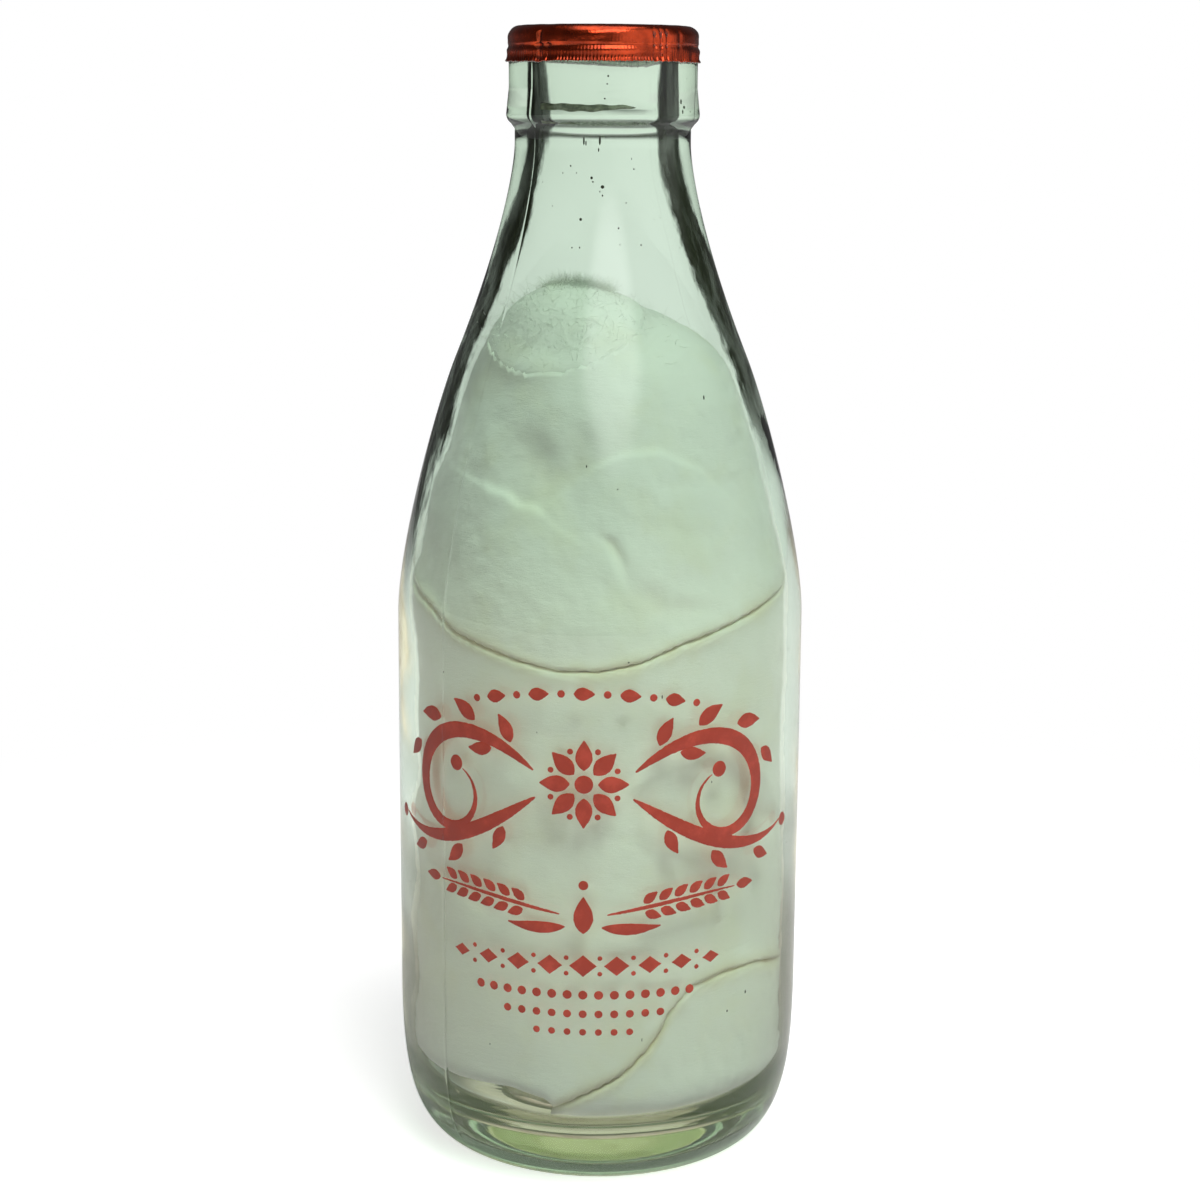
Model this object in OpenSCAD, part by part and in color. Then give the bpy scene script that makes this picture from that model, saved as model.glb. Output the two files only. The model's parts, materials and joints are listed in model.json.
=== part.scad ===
// One-pint glass milk bottle with a crimped foil cap, cotton wadding inside and a fired enamel print.
// Millimetres. The origin is the centre of the base, on the plane that the bottle stands on; +Z is up
// through the mouth and -Y is the printed front.

/* [Glass body] */
// Outer diameter of the straight body
body_d = 78; // [70:0.5:90]
// Height of the rounded heel, from the table to the straight body
heel_h = 36; // [30:0.5:45]
// Height of the straight body
straight_h = 69.5; // [66:0.5:110]
// Outer diameter of the flat ring that the bottle stands on
foot_d = 46; // [42:0.5:56]
// Width of that flat ring
foot_ring_w = 3; // [2:0.25:5]
// Height of the hollow pushed up under the base
push_up_h = 2.5; // [1.5:0.25:4]
// Thickness of the glass in the base
base_t = 6.5; // [4:0.25:7.5]
// Thickness of the glass in the body and the shoulder
wall_t = 2.7; // [2.3:0.1:4.5]

/* [Shoulder and neck] */
// Height of the curved shoulder
shoulder_h = 49.5; // [42:0.5:60]
// Outer diameter where the shoulder meets the foot of the neck
neck_foot_d = 55; // [50:0.5:60]
// Height of the curved neck
neck_h = 39.5; // [32:0.5:50]
// Outer diameter at the top of the neck
neck_d = 33; // [32.4:0.1:34.2]
// Lean of the side where the shoulder meets the neck, in degrees from upright
neck_lean = 22; // [18:0.5:27]

/* [Finish] */
// Height of the thick finish band at the mouth
finish_h = 21; // [19:0.5:26]
// Plain glass between the top of the neck and the band's lower bead
collar_h = 3; // [2:0.25:5]
// Outer diameter of the band's lower bead
bead_d = 36.2; // [35.8:0.1:37.6]
// Height of the lower bead
bead_h = 7; // [5:0.25:9]
// Outer diameter of the lip that the cap closes over
lip_d = 35.2; // [34.6:0.1:35.6]
// Rounding of the lip's outer edge
lip_round = 2; // [1:0.1:2.3]
// Diameter of the mouth's straight bore
bore_d = 24; // [20:0.1:28]

/* [Foil cap] */
// Thickness of the foil
foil_t = 0.15; // [0.1:0.01:0.25]
// Gap between the foil and the glass all round
cap_gap = 0.1; // [0.05:0.01:0.2]
// Height of the cap's skirt below its top
cap_h = 6.6; // [5.5:0.1:8]
// Height of the crimped part of the skirt
crimp_h = 2.5; // [1.5:0.1:3.2]
// Number of crimps round the skirt
crimp_count = 96; // [48:1:120]
// How far each crimp stands out of the skirt
crimp_depth = 0.25; // [0.1:0.01:0.4]
// How far the skirt's cut edge flares out
flare = 0.35; // [0.1:0.05:0.6]
// Diameter of the plain ring pressed into the top
ring_d = 22; // [14:0.5:25]
// Height and width of that ring's ridge
ring_ridge = 0.25; // [0.1:0.05:0.4]

/* [Cotton wadding] */
// Gap between each wad and what it lies against
wad_gap = 0.3; // [0.2:0.05:0.6]
// Depth of the mouth and neck left empty above the wadding
headspace_h = 46.5; // [40:0.5:60]
// Radius of the dome that tops the upper wad
dome_r = 32; // [30:0.5:36]
// Radius of the round tuft that rests in the dome
tuft_r = 11; // [9:0.5:13]
// Height of the crease between the upper wad and the lower wad
crease_z = 102; // [95:0.5:104]
// Radius of the upper wad's rounded underside
belly_r = 60; // [50:1:80]
// Radius of the lower wad's rounded underside
lower_r = 80; // [66:1:95]
// Height of the lower wad's underside at its deepest point
lower_z = 12.5; // [11.5:0.5:16]
// Radius of the small wad in the heel
heel_wad_r = 34; // [30:0.5:37]

/* [Enamel print] */
// Thickness of the fired enamel
print_t = 0.1; // [0.06:0.01:0.2]
// Gap that keeps the flat facets of the enamel clear of the round glass
print_gap = 0.03; // [0.02:0.01:0.06]
// Turn of the print's centre from the front, in degrees
print_turn = -4; // [-20:1:20]
// Height of the rosette's centre
rosette_z = 81; // [78:0.5:84]
// Length of the rosette's petals
petal_l = 5.6; // [4.6:0.1:6]
// Length of the leaves on the scrolls
leaf_l = 5.6; // [4.6:0.1:6]
// Height of the ends of the arched row above the rosette's centre
arch_above = 14.4; // [14:0.2:18]
// Half of the arched row's length round the body
arch_half = 21; // [19:0.5:21.5]
// Height of the wheat ears below the rosette's centre
wheat_below = 22.6; // [22:0.2:24]
// Length of the wheat ears' stalks
stalk_l = 26; // [23:0.5:27]
// Height of the lozenge row below the wheat ears
lozenge_below = 11.8; // [10.4:0.2:12.8]
// Length of the middle lozenge
lozenge_l = 5; // [4:0.1:5.4]
// Height of the first dotted row below the lozenge row
dots_below = 5.6; // [5.1:0.25:7.1]
// Spacing of the dots in the dotted rows
dot_pitch = 2.9; // [2.2:0.1:3.2]
// Radius of the dots in the first dotted row
dot_r = 0.85; // [0.6:0.05:0.95]

/* [Hidden] */
glass_colour = [0.74, 0.86, 0.78, 0.35];
foil_colour = [0.80, 0.22, 0.10];
cotton_colour = [0.90, 0.91, 0.88];
enamel_colour = [0.60, 0.16, 0.09];
eps = 0.01;

// Radii and heights that follow from the driving sizes
body_r = body_d / 2;
foot_r = foot_d / 2;
neck_foot_r = neck_foot_d / 2;
neck_r = neck_d / 2;
bead_r = bead_d / 2;
lip_r = lip_d / 2;
bore_r = bore_d / 2;
shoulder_z = heel_h + straight_h;
neck_foot_z = shoulder_z + shoulder_h;
neck_z = neck_foot_z + neck_h;
bead_z = neck_z + collar_h;
top_z = neck_z + finish_h;
floor_z = push_up_h + base_t;
inner_r = body_r - wall_t;

// Shape of the curves: how far each Bezier handle reaches
heel_reach_out = 0.94;
heel_reach_up = 0.615;
shoulder_reach = 0.24;
neck_reach = 0.55;
neck_top_reach = 0.13;
neck_inner_reach = 0.8;
push_up_reach = 0.5;
floor_fillet_h = 12;
floor_reach = 0.62;
curve_steps = 14;
arc_steps = 5;
bead_corner_h = 2.2;
bore_round = 2.2;

// A point and a whole curve of a cubic Bezier
function bez(p, t) =
    pow(1 - t, 3) * p[0] + 3 * pow(1 - t, 2) * t * p[1] + 3 * (1 - t) * t * t * p[2] + t * t * t * p[3];
function curve(p, steps = curve_steps) = [for (i = [1 : steps - 1]) bez(p, i / steps)];
// Points of an arc, both ends included
function arc(centre, r, a0, a1, steps = arc_steps) =
    [for (i = [0 : steps]) centre + r * [cos(a0 + (a1 - a0) * i / steps), sin(a0 + (a1 - a0) * i / steps)]];

// Outside of the glass, from the bearing ring up to the lip
heel_curve = [[foot_r, 0], [foot_r + (body_r - foot_r) * heel_reach_out, 0],
    [body_r, heel_h * (1 - heel_reach_up)], [body_r, heel_h]];
shoulder_curve = [[body_r, shoulder_z], [body_r, shoulder_z + shoulder_h * shoulder_reach],
    [neck_foot_r + shoulder_h * shoulder_reach * sin(neck_lean),
        neck_foot_z - shoulder_h * shoulder_reach * cos(neck_lean)], [neck_foot_r, neck_foot_z]];
neck_curve = [[neck_foot_r, neck_foot_z],
    [neck_foot_r - neck_h * neck_reach * sin(neck_lean), neck_foot_z + neck_h * neck_reach * cos(neck_lean)],
    [neck_r, neck_z - neck_h * neck_top_reach], [neck_r, neck_z]];
finish_points = concat(
    [[neck_r, neck_z], [neck_r, bead_z]],
    arc([bead_r - bead_corner_h, bead_z + bead_corner_h], bead_corner_h, -55, 0),
    [[lip_r, bead_z + bead_h]],
    arc([lip_r - lip_round, top_z - lip_round], lip_round, 0, 90));
outside = concat([[foot_r, 0]], curve(heel_curve), [[body_r, heel_h], [body_r, shoulder_z]],
    curve(shoulder_curve), [[neck_foot_r, neck_foot_z]], curve(neck_curve), finish_points);

// Inside of the glass from the floor up, held g millimetres off the glass
lean_in = [cos(neck_lean), sin(neck_lean)];
function inner_foot(g) = [neck_foot_r, neck_foot_z] - (wall_t + g) * lean_in;
function floor_curve(g) = [[0, floor_z + g], [inner_r * floor_reach, floor_z + g],
    [inner_r - g, floor_z + g], [inner_r - g, floor_z + g + floor_fillet_h]];
function inner_shoulder(g) = [[inner_r - g, shoulder_z],
    [inner_r - g, shoulder_z + shoulder_h * shoulder_reach],
    inner_foot(g) + shoulder_h * shoulder_reach * [sin(neck_lean), -cos(neck_lean)], inner_foot(g)];
function inner_neck(g) = [inner_foot(g),
    inner_foot(g) + neck_h * neck_reach * neck_inner_reach * [-sin(neck_lean), cos(neck_lean)],
    [bore_r - g, neck_z - neck_h * neck_top_reach], [bore_r - g, neck_z]];
function inside(g) = concat([[0, floor_z + g]], curve(floor_curve(g)),
    [[inner_r - g, floor_z + g + floor_fillet_h], [inner_r - g, shoulder_z]], curve(inner_shoulder(g)),
    [inner_foot(g)], curve(inner_neck(g)), [[bore_r - g, neck_z]]);

// Underside of the base: a shallow dome inside the bearing ring
ring_inner_r = foot_r - foot_ring_w;
push_up_curve = [[ring_inner_r, 0], [ring_inner_r * (1 + push_up_reach) / 2, push_up_h],
    [ring_inner_r * push_up_reach, push_up_h], [0, push_up_h]];

function reverse(list) = [for (i = [len(list) - 1 : -1 : 0]) list[i]];

module glass_bottle() {
    bore_edge = arc([bore_r + bore_round, top_z - bore_round], bore_round, 90, 180);
    color(glass_colour)
        rotate_extrude($fn = 180)
            polygon(concat(outside, bore_edge, reverse(inside(0)), [[0, push_up_h]],
                reverse(curve(push_up_curve)), [[ring_inner_r, 0]]));
}

// The foil cap
cap_inner_r = lip_r + cap_gap;
cap_outer_r = cap_inner_r + foil_t;
cap_ceiling_z = top_z + cap_gap;
cap_top_z = cap_ceiling_z + foil_t;
cap_edge_z = cap_top_z - cap_h;
cap_round_r = lip_round + cap_gap;
crimp_edge_h = 0.3;
crimp_root = 0.04;
crimp_top_z = cap_edge_z + crimp_edge_h + crimp_h;

module cap_crown() {
    corner = [cap_inner_r - cap_round_r, cap_ceiling_z - cap_round_r];
    rotate_extrude($fn = 180)
        polygon(concat(
            [[0, cap_ceiling_z]],
            reverse(arc(corner, cap_round_r, 0, 90)),
            [[cap_inner_r, crimp_top_z], [cap_outer_r, crimp_top_z]],
            arc(corner, cap_round_r + foil_t, 0, 90),
            [[0, cap_top_z]]));
}

module cap_crimps() {
    steps = 4 * crimp_count;
    outline = [for (i = [0 : steps - 1])
        (cap_outer_r + crimp_root + crimp_depth * (0.5 - 0.5 * cos(360 * i / 4)))
            * [cos(360 * i / steps), sin(360 * i / steps)]];
    translate([0, 0, cap_edge_z + crimp_edge_h])
        linear_extrude(crimp_h)
            difference() {
                polygon(outline);
                circle(r = cap_inner_r, $fn = 180);
            }
}

module cap_edge() {
    rotate_extrude($fn = 180)
        polygon([[cap_inner_r, cap_edge_z + crimp_edge_h], [cap_inner_r + flare, cap_edge_z],
            [cap_inner_r + flare + foil_t, cap_edge_z], [cap_outer_r, cap_edge_z + crimp_edge_h]]);
}

module cap_ring() {
    translate([0, 0, cap_top_z - eps])
        difference() {
            cylinder(h = ring_ridge, d = ring_d, $fn = 120);
            translate([0, 0, -eps])
                cylinder(h = ring_ridge + 3 * eps, d = ring_d - 4 * ring_ridge, $fn = 120);
        }
}

module foil_cap() {
    color(foil_colour)
        union() {
            cap_crown();
            cap_crimps();
            cap_edge();
            cap_ring();
        }
}

// Cotton wads: lumps of the cavity, each held wad_gap off the glass and off its neighbours
pile_z = top_z - headspace_h;
dome_drop = 3;
tuft_drop = 1.5;
belly_drop = 4.9;
heel_wad_z = 9;
dome_start = 1;
// Where each ball is centred: shares of the inside radius, [to the right, to the back], and a height
function centre_at(share, z) = [share[0] * inner_r, share[1] * inner_r, z];
dome_at = centre_at([-0.01, 0], pile_z - dome_drop - dome_r);
tuft_at = centre_at([-0.17, -0.34], pile_z - tuft_drop - tuft_r);
belly_at = centre_at([-0.11, -0.33], crease_z - belly_drop + belly_r);
lower_at = centre_at([-0.33, -0.17], lower_z + lower_r);
heel_wad_at = centre_at([0.55, -0.39], heel_wad_z);

module cavity_core() {
    rotate_extrude($fn = 120)
        polygon(concat(inside(wad_gap), [[0, neck_z]]));
}

module ball(at, r) {
    translate(at)
        sphere(r = r, $fn = 120);
}

module above_dome() {
    difference() {
        translate([0, 0, dome_at[2] + dome_start])
            cylinder(h = top_z, r = body_r, $fn = 120);
        ball(dome_at, dome_r);
    }
}

module wad_tuft() {
    color(cotton_colour)
        intersection() {
            cavity_core();
            ball(tuft_at, tuft_r);
        }
}

module below_belly() {
    difference() {
        cylinder(h = belly_at[2], r = body_r, $fn = 120);
        ball(belly_at, belly_r);
    }
}

module wad_upper() {
    color(cotton_colour)
        difference() {
            cavity_core();
            below_belly();
            above_dome();
            ball(tuft_at, tuft_r + wad_gap);
        }
}

module wad_lower() {
    color(cotton_colour)
        difference() {
            intersection() {
                cavity_core();
                ball(lower_at, lower_r);
                cylinder(h = belly_at[2], r = body_r, $fn = 120);
            }
            ball(belly_at, belly_r + wad_gap);
            ball(heel_wad_at, heel_wad_r + wad_gap);
        }
}

module wad_heel() {
    color(cotton_colour)
        intersection() {
            cavity_core();
            ball(heel_wad_at, heel_wad_r);
        }
}

// Enamel print: every stroke is a thin skin wrapped round the body.
// A stroke's path is a list of [distance round the body, height, heading].
skin_r = body_r + print_gap;
tip_half = 0.12;
leaf_steps = 8;
leaf_turn = 17;
stem_gap = 0.5;
berry_gap = 0.45;
arch_z = rosette_z + arch_above;
wheat_z = rosette_z - wheat_below;
lozenge_z = wheat_z - lozenge_below;
dots_z = lozenge_z - dots_below;

// A path that starts off turning by turn0 and ends turning by turn1, both in degrees over its whole length
function curl(start, heading, length, turn0, turn1, n) = [
    for (i = 0, p = start, h = heading; i <= n;
        p = p + length / n * [cos(h), sin(h)], h = h + (turn0 + (turn1 - turn0) * i / n) / n, i = i + 1)
        [p[0], p[1], h]];
function left_of(h) = [-sin(h), cos(h)];
function swell(t, full, lead) = tip_half + full * sin(180 * pow(t, lead));
function wrap(p, r) =
    let (a = p[0] / body_r * 180 / PI + print_turn)
    [r * sin(a), -r * cos(a), p[1]];

module stroke(path, full, lead = 0.8) {
    n = len(path) - 1;
    rings = [for (i = [0 : n])
        let (
            s = path[i],
            w = swell(i / n, full, lead),
            l = [s[0], s[1]] + w * left_of(s[2]),
            r = [s[0], s[1]] - w * left_of(s[2]))
        each [wrap(r, skin_r), wrap(l, skin_r), wrap(l, skin_r + print_t), wrap(r, skin_r + print_t)]];
    sides = [for (i = [0 : n - 1], k = [0 : 3])
        let (a = 4 * i + k, b = 4 * i + (k + 1) % 4)
        each [[a, a + 4, b], [b, a + 4, b + 4]]];
    polyhedron(points = rings,
        faces = concat(sides, [[0, 1, 2], [0, 2, 3]],
            [for (f = [[0, 2, 1], [0, 3, 2]]) f + 4 * n * [1, 1, 1]]));
}

module leaf(at, heading, length, width, turn = 0) {
    stroke(curl([at[0], at[1]], heading, length, turn, turn, leaf_steps), width / 2);
}

// A round spot, cut from a shell that follows the body
module spot(at, r) {
    intersection() {
        translate([0, 0, at[1] - 2 * r])
            difference() {
                cylinder(h = 4 * r, r = skin_r + print_t, $fn = 180);
                translate([0, 0, -eps])
                    cylinder(h = 4 * r + 2 * eps, r = skin_r, $fn = 180);
            }
        rotate([0, 0, at[0] / body_r * 180 / PI + print_turn])
            translate([0, -body_r / 2, at[1]])
                rotate([90, 0, 0])
                    cylinder(h = body_r, r = r, $fn = 24);
    }
}

// The same motif on the right of the print's middle line and mirrored on the left; side is 1 or -1
module on_side(side) {
    rotate([0, 0, print_turn])
        mirror([side < 0 ? 1 : 0, 0, 0])
            rotate([0, 0, -print_turn])
                children();
}

arch_rise = 2.4;
arch_count = 5;
arch_leaf_l = 3.8;
arch_leaf_w = 2.2;
arch_spot_r = 0.7;
function arch_at(s) = [s, arch_z + arch_rise * (1 - pow(s / arch_half, 2))];

module print_arch() {
    color(enamel_colour)
        for (i = [-arch_count : arch_count]) {
            s = i * arch_half / arch_count;
            slope = atan(-2 * arch_rise * s / pow(arch_half, 2));
            if (i % 2 == 0)
                leaf(arch_at(s) - arch_leaf_l / 2 * [cos(slope), sin(slope)], slope,
                    arch_leaf_l, arch_leaf_w);
            else
                spot(arch_at(s), arch_spot_r);
        }
}

// Points beside a path at station i, clear of the path's own stroke
function beside(path, i, side, full, lead) =
    let (s = path[i], t = i / (len(path) - 1))
    [s[0], s[1]] + side * (swell(t, full, lead) + stem_gap) * left_of(s[2]);

// Each leaf is [station on the stem, which side, angle from the stem, share of the full leaf].
module branch(path, full, lead, leaves, berry_r) {
    last = path[len(path) - 1];
    stroke(path, full, lead);
    for (f = leaves)
        leaf(beside(path, f[0], f[1], full, lead), path[f[0]][2] + f[1] * f[2],
            leaf_l * f[3], leaf_w * f[3], -leaf_turn * f[1]);
    spot([last[0], last[1]] + (berry_r + berry_gap) * [cos(last[2]), sin(last[2])], berry_r);
}

leaf_w = 2.5;
upper_start = [9.4, 2.2];
upper_l = 62;
upper_half = 1.45;
upper_berry_r = 1.5;
upper_leaves = [[4, 1, 44, 1], [9, 1, 36, 1.07], [6, -1, 34, 0.93], [14, 1, 32, 1.07], [19, 1, 30, 0.9]];
lower_start = [9, -2.8];
lower_l = 38;
lower_half = 1.3;
lower_berry_r = 1.3;
lower_leaves = [[6, -1, 40, 0.9], [13, -1, 34, 0.93], [20, -1, 30, 0.82]];

module scroll() {
    upper = curl([0, rosette_z] + upper_start, 38, upper_l, -87, -663, 40);
    lower = curl([0, rosette_z] + lower_start, -34, lower_l, 0, 122, 26);
    branch(upper, upper_half, 0.72, upper_leaves, upper_berry_r);
    branch(lower, lower_half, 0.8, lower_leaves, lower_berry_r);
}

module print_scroll_left() {
    color(enamel_colour)
        on_side(-1)
            scroll();
}

module print_scroll_right() {
    color(enamel_colour)
        on_side(1)
            scroll();
}

petals = 8;
heart_r = 1.7;
petal_w = 2.9;
petal_start = 2.6;
bud_reach = 6.6;
bud_r = 0.55;

module print_rosette() {
    color(enamel_colour) {
        spot([0, rosette_z], heart_r);
        for (i = [0 : petals - 1]) {
            a = i * 360 / petals;
            b = a + 180 / petals;
            leaf([0, rosette_z] + petal_start * [cos(a), sin(a)], a, petal_l, petal_w);
            spot([0, rosette_z] + bud_reach * [cos(b), sin(b)], bud_r);
        }
    }
}

// The wheat ears: half-widths, lengths and places from the middle line and the ears' height
grains = 6;
grain_first = 7;
grain_step = 3;
grain_lean = 32;
grain_turn = 6.4;
grain_l = 3.2;
grain_w = 1.6;
stalk_start = [4.4, -2];
stalk_half = 0.26;
stalk_lead = 0.7;
tip_gap = 0.6;
tip_l = 4.2;
tip_w = 1.8;
blade_start = [3.4, -4.4];
blade_l = 11;
blade_w = 1.6;
blade_turn = 22;
drop_start = -5.6;
drop_l = 7;
drop_w = 3.4;
pearl_up = 3.6;
pearl_r = 0.9;

module wheat_ear() {
    stalk = curl([0, wheat_z] + stalk_start, 10, stalk_l, 0, -23.4, 26);
    tip = stalk[len(stalk) - 1];
    stroke(stalk, stalk_half, stalk_lead);
    for (i = [0 : grains - 1], side = [-1, 1]) {
        station = grain_first + grain_step * i;
        leaf(beside(stalk, station, side, stalk_half, stalk_lead), stalk[station][2] + grain_lean * side,
            grain_l, grain_w, -grain_turn * side);
    }
    leaf([tip[0] + tip_gap, tip[1]], tip[2], tip_l, tip_w);
    leaf([0, wheat_z] + blade_start, -8, blade_l, blade_w, blade_turn);
}

module print_wheat() {
    color(enamel_colour) {
        for (side = [-1, 1])
            on_side(side)
                wheat_ear();
        leaf([0, wheat_z + drop_start], 90, drop_l, drop_w);
        spot([0, wheat_z + pearl_up], pearl_r);
    }
}

// A flat four-cornered plate that spans the round of the body from its left corner to its right corner
module lozenge(at, length, height) {
    corners = [for (p = [[-length / 2, 0], [0, -height / 2], [length / 2, 0], [0, height / 2]])
        [at[0], at[1]] + p];
    skin = [for (r = [skin_r, skin_r + print_t], c = corners) wrap(c, r)];
    polyhedron(points = skin, faces = [[0, 1, 3], [1, 2, 3], [4, 7, 5], [5, 7, 6],
        [0, 4, 1], [1, 4, 5], [1, 5, 2], [2, 5, 6], [2, 6, 3], [3, 6, 7], [3, 7, 0], [0, 7, 4]]);
}

lozenge_count = 4;
lozenge_pitch = 6.2;
lozenge_h = 4.2;
lozenge_taper = [0.07, 0.107];
speck_r = 0.45;
speck_up = 1.5;

module print_lozenges() {
    color(enamel_colour) {
        for (i = [-lozenge_count : lozenge_count])
            lozenge([i * lozenge_pitch, lozenge_z],
                lozenge_l * (1 - lozenge_taper[0] * abs(i)), lozenge_h * (1 - lozenge_taper[1] * abs(i)));
        for (i = [-lozenge_count : lozenge_count - 1], side = [-1, 1])
            spot([(i + 0.5) * lozenge_pitch, lozenge_z + speck_up * side], speck_r);
    }
}

row_drop = 3.6;
row_halves = [7, 5, 3];
row_taper = 0.12;

module print_dots() {
    color(enamel_colour)
        for (row = [0 : 2], i = [-row_halves[row] : row_halves[row]])
            spot([i * dot_pitch, dots_z - row * row_drop], dot_r * (1 - row_taper * row));
}

glass_bottle();
foil_cap();
wad_tuft();
wad_upper();
wad_lower();
wad_heel();
print_arch();
print_scroll_left();
print_scroll_right();
print_rosette();
print_wheat();
print_lozenges();
print_dots();
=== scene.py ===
"""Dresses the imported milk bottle: wavy green glass, crimped foil cap, cotton wadding and fired print.

Laid out as an add-on and run as a script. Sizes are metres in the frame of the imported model: the origin is
the centre of the base, +Z runs up through the mouth and -Y is the printed front.
"""

import json
import math
import random

import bpy
import numpy as np
from bpy.props import FloatProperty, FloatVectorProperty, IntProperty, PointerProperty
from bpy.types import Operator, Panel, PropertyGroup
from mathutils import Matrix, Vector, noise


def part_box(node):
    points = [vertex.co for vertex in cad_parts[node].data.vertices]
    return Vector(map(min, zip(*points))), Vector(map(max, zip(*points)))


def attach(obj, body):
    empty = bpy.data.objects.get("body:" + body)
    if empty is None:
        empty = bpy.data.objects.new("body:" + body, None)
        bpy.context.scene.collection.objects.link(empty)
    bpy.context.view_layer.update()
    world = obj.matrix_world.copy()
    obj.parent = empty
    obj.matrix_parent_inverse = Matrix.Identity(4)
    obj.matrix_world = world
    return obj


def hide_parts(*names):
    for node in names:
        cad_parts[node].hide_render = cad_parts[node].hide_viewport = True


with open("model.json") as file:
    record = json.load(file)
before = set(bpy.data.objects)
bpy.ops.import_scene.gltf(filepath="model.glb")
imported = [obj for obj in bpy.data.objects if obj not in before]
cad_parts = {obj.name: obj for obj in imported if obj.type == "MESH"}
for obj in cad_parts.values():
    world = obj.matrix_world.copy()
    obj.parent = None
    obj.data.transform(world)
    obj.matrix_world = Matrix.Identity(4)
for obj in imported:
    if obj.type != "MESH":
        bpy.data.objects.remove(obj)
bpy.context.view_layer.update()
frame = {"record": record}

bl_info = {
    "name": "Milk Bottle Dresser",
    "version": (1, 0, 0),
    "blender": (4, 5, 0),
    "location": "View3D > Sidebar > Bottle",
    "description": "Builds the glass, foil, cotton and enamel of a milk bottle round its packed model",
    "category": "Add Mesh",
}

MM = 0.001
GLASS_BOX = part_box("glass_bottle")
MOUTH = next(m for m in frame["record"]["mounts"] if m["name"] == "mouth")
BODY_R = GLASS_BOX[1].x
GLASS_TOP = GLASS_BOX[1].z
BORE_R = MOUTH["dims"]["r_mm"] * MM


# ---------------------------------------------------------------- sizes and colours that a user would change


def length(name, description, default):
    return FloatProperty(name=name, description=description, default=default, unit="LENGTH", precision=5)


def angle_size(name, description, degrees):
    return FloatProperty(name=name, description=description, default=math.radians(degrees), subtype="ANGLE")


def colour(name, description, default):
    return FloatVectorProperty(
        name=name, description=description, default=default, size=3, subtype="COLOR", min=0, max=1
    )


class GlassSizes(PropertyGroup):
    heel_h: length("Heel height", "Height of the rounded heel", 36 * MM)
    straight_h: length("Straight height", "Height of the straight body", 69.5 * MM)
    shoulder_h: length("Shoulder height", "Height of the curved shoulder", 49.5 * MM)
    neck_h: length("Neck height", "Height of the curved neck", 39.5 * MM)
    foot_r: length("Foot radius", "Outer radius of the ring that the bottle stands on", 23 * MM)
    foot_ring: length("Foot ring", "Width of that ring", 3 * MM)
    push_up: length("Push-up", "Height of the hollow under the base", 2.5 * MM)
    base_t: length("Base thickness", "Glass in the base", 6.5 * MM)
    wall_t: length("Wall thickness", "Glass in the body and shoulder", 2.7 * MM)
    neck_foot_r: length("Neck foot radius", "Outer radius where the shoulder meets the neck", 27.5 * MM)
    neck_r: length("Neck radius", "Outer radius at the top of the neck", 16.5 * MM)
    collar_h: length("Collar", "Plain glass below the finish band", 3 * MM)
    bead_r: length("Bead radius", "Outer radius of the finish band's lower bead", 18.1 * MM)
    bead_h: length("Bead height", "Height of that bead", 7 * MM)
    lip_r: length("Lip radius", "Outer radius of the lip", 17.6 * MM)
    lip_round: length("Lip rounding", "Rounding of the lip's outer edge", 2 * MM)
    neck_lean: angle_size("Neck lean", "Lean of the side below the neck", 22)
    seam_turn: angle_size("Seam turn", "Turn of the mould seam from the front", -48)
    inner_wave: length("Inner waves", "How far the inner wall strays from true", 0.30 * MM)
    outer_wave: length("Outer waves", "How far the outer wall dips below true", 0.05 * MM)
    tint: colour("Tint", "What 10 mm of the glass lets through", (0.885, 0.915, 0.865))
    lamp_tint: colour("Lamp tint", "Lamp light that each surface of the glass passes", (0.855, 0.965, 0.89))


class CapSizes(PropertyGroup):
    foil_t: length("Foil thickness", "Thickness of the foil", 0.12 * MM)
    pleats: IntProperty(name="Pleats", description="Number of crimps round the skirt", default=176, min=24)
    pleat_depth: length("Pleat depth", "Depth of the crimps at the skirt's edge", 0.22 * MM)
    lacquer: colour("Lacquer", "Colour of the lacquered foil", (0.92, 0.098, 0.026))


class WadSizes(PropertyGroup):
    pile_z: length("Pile height", "Top of the wadding", 169 * MM)
    strands: IntProperty(name="Strands", description="Loose fibres on the pile", default=2600, min=0)
    cotton: colour("Cotton", "Colour of the wadding", (0.77, 0.82, 0.74))


class PrintSizes(PropertyGroup):
    ink_t: length("Ink thickness", "Thickness of the fired enamel", 0.07 * MM)
    turn: angle_size("Print turn", "Turn of the print's centre from the front", -4)
    ink: colour("Ink", "Colour of the fired enamel", (0.36, 0.035, 0.014))


# ---------------------------------------------------------------- small helpers


def new_object(name, verts, faces, material, smooth=True):
    """A mesh object from corners and faces, shaded smooth or flat."""
    mesh = bpy.data.meshes.new(name)
    mesh.from_pydata([tuple(v) for v in verts], [], [tuple(f) for f in faces])
    mesh.validate()
    mesh.polygons.foreach_set("use_smooth", [smooth] * len(mesh.polygons))
    mesh.materials.append(material)
    obj = bpy.data.objects.new(name, mesh)
    bpy.context.scene.collection.objects.link(obj)
    return obj


def bezier(p, steps):
    """Points strictly between the ends of a cubic Bezier."""
    p = np.array(p, float)
    t = np.linspace(0, 1, steps + 1)[1:-1, None]
    return (1 - t) ** 3 * p[0] + 3 * (1 - t) ** 2 * t * p[1] + 3 * (1 - t) * t**2 * p[2] + t**3 * p[3]


def arc(centre, r, a0, a1, steps):
    """Points round a centre from angle a0 to a1 in degrees, both ends included."""
    a = np.radians(np.linspace(a0, a1, steps + 1))
    return np.array(centre) + r * np.stack([np.cos(a), np.sin(a)], 1)


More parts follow.
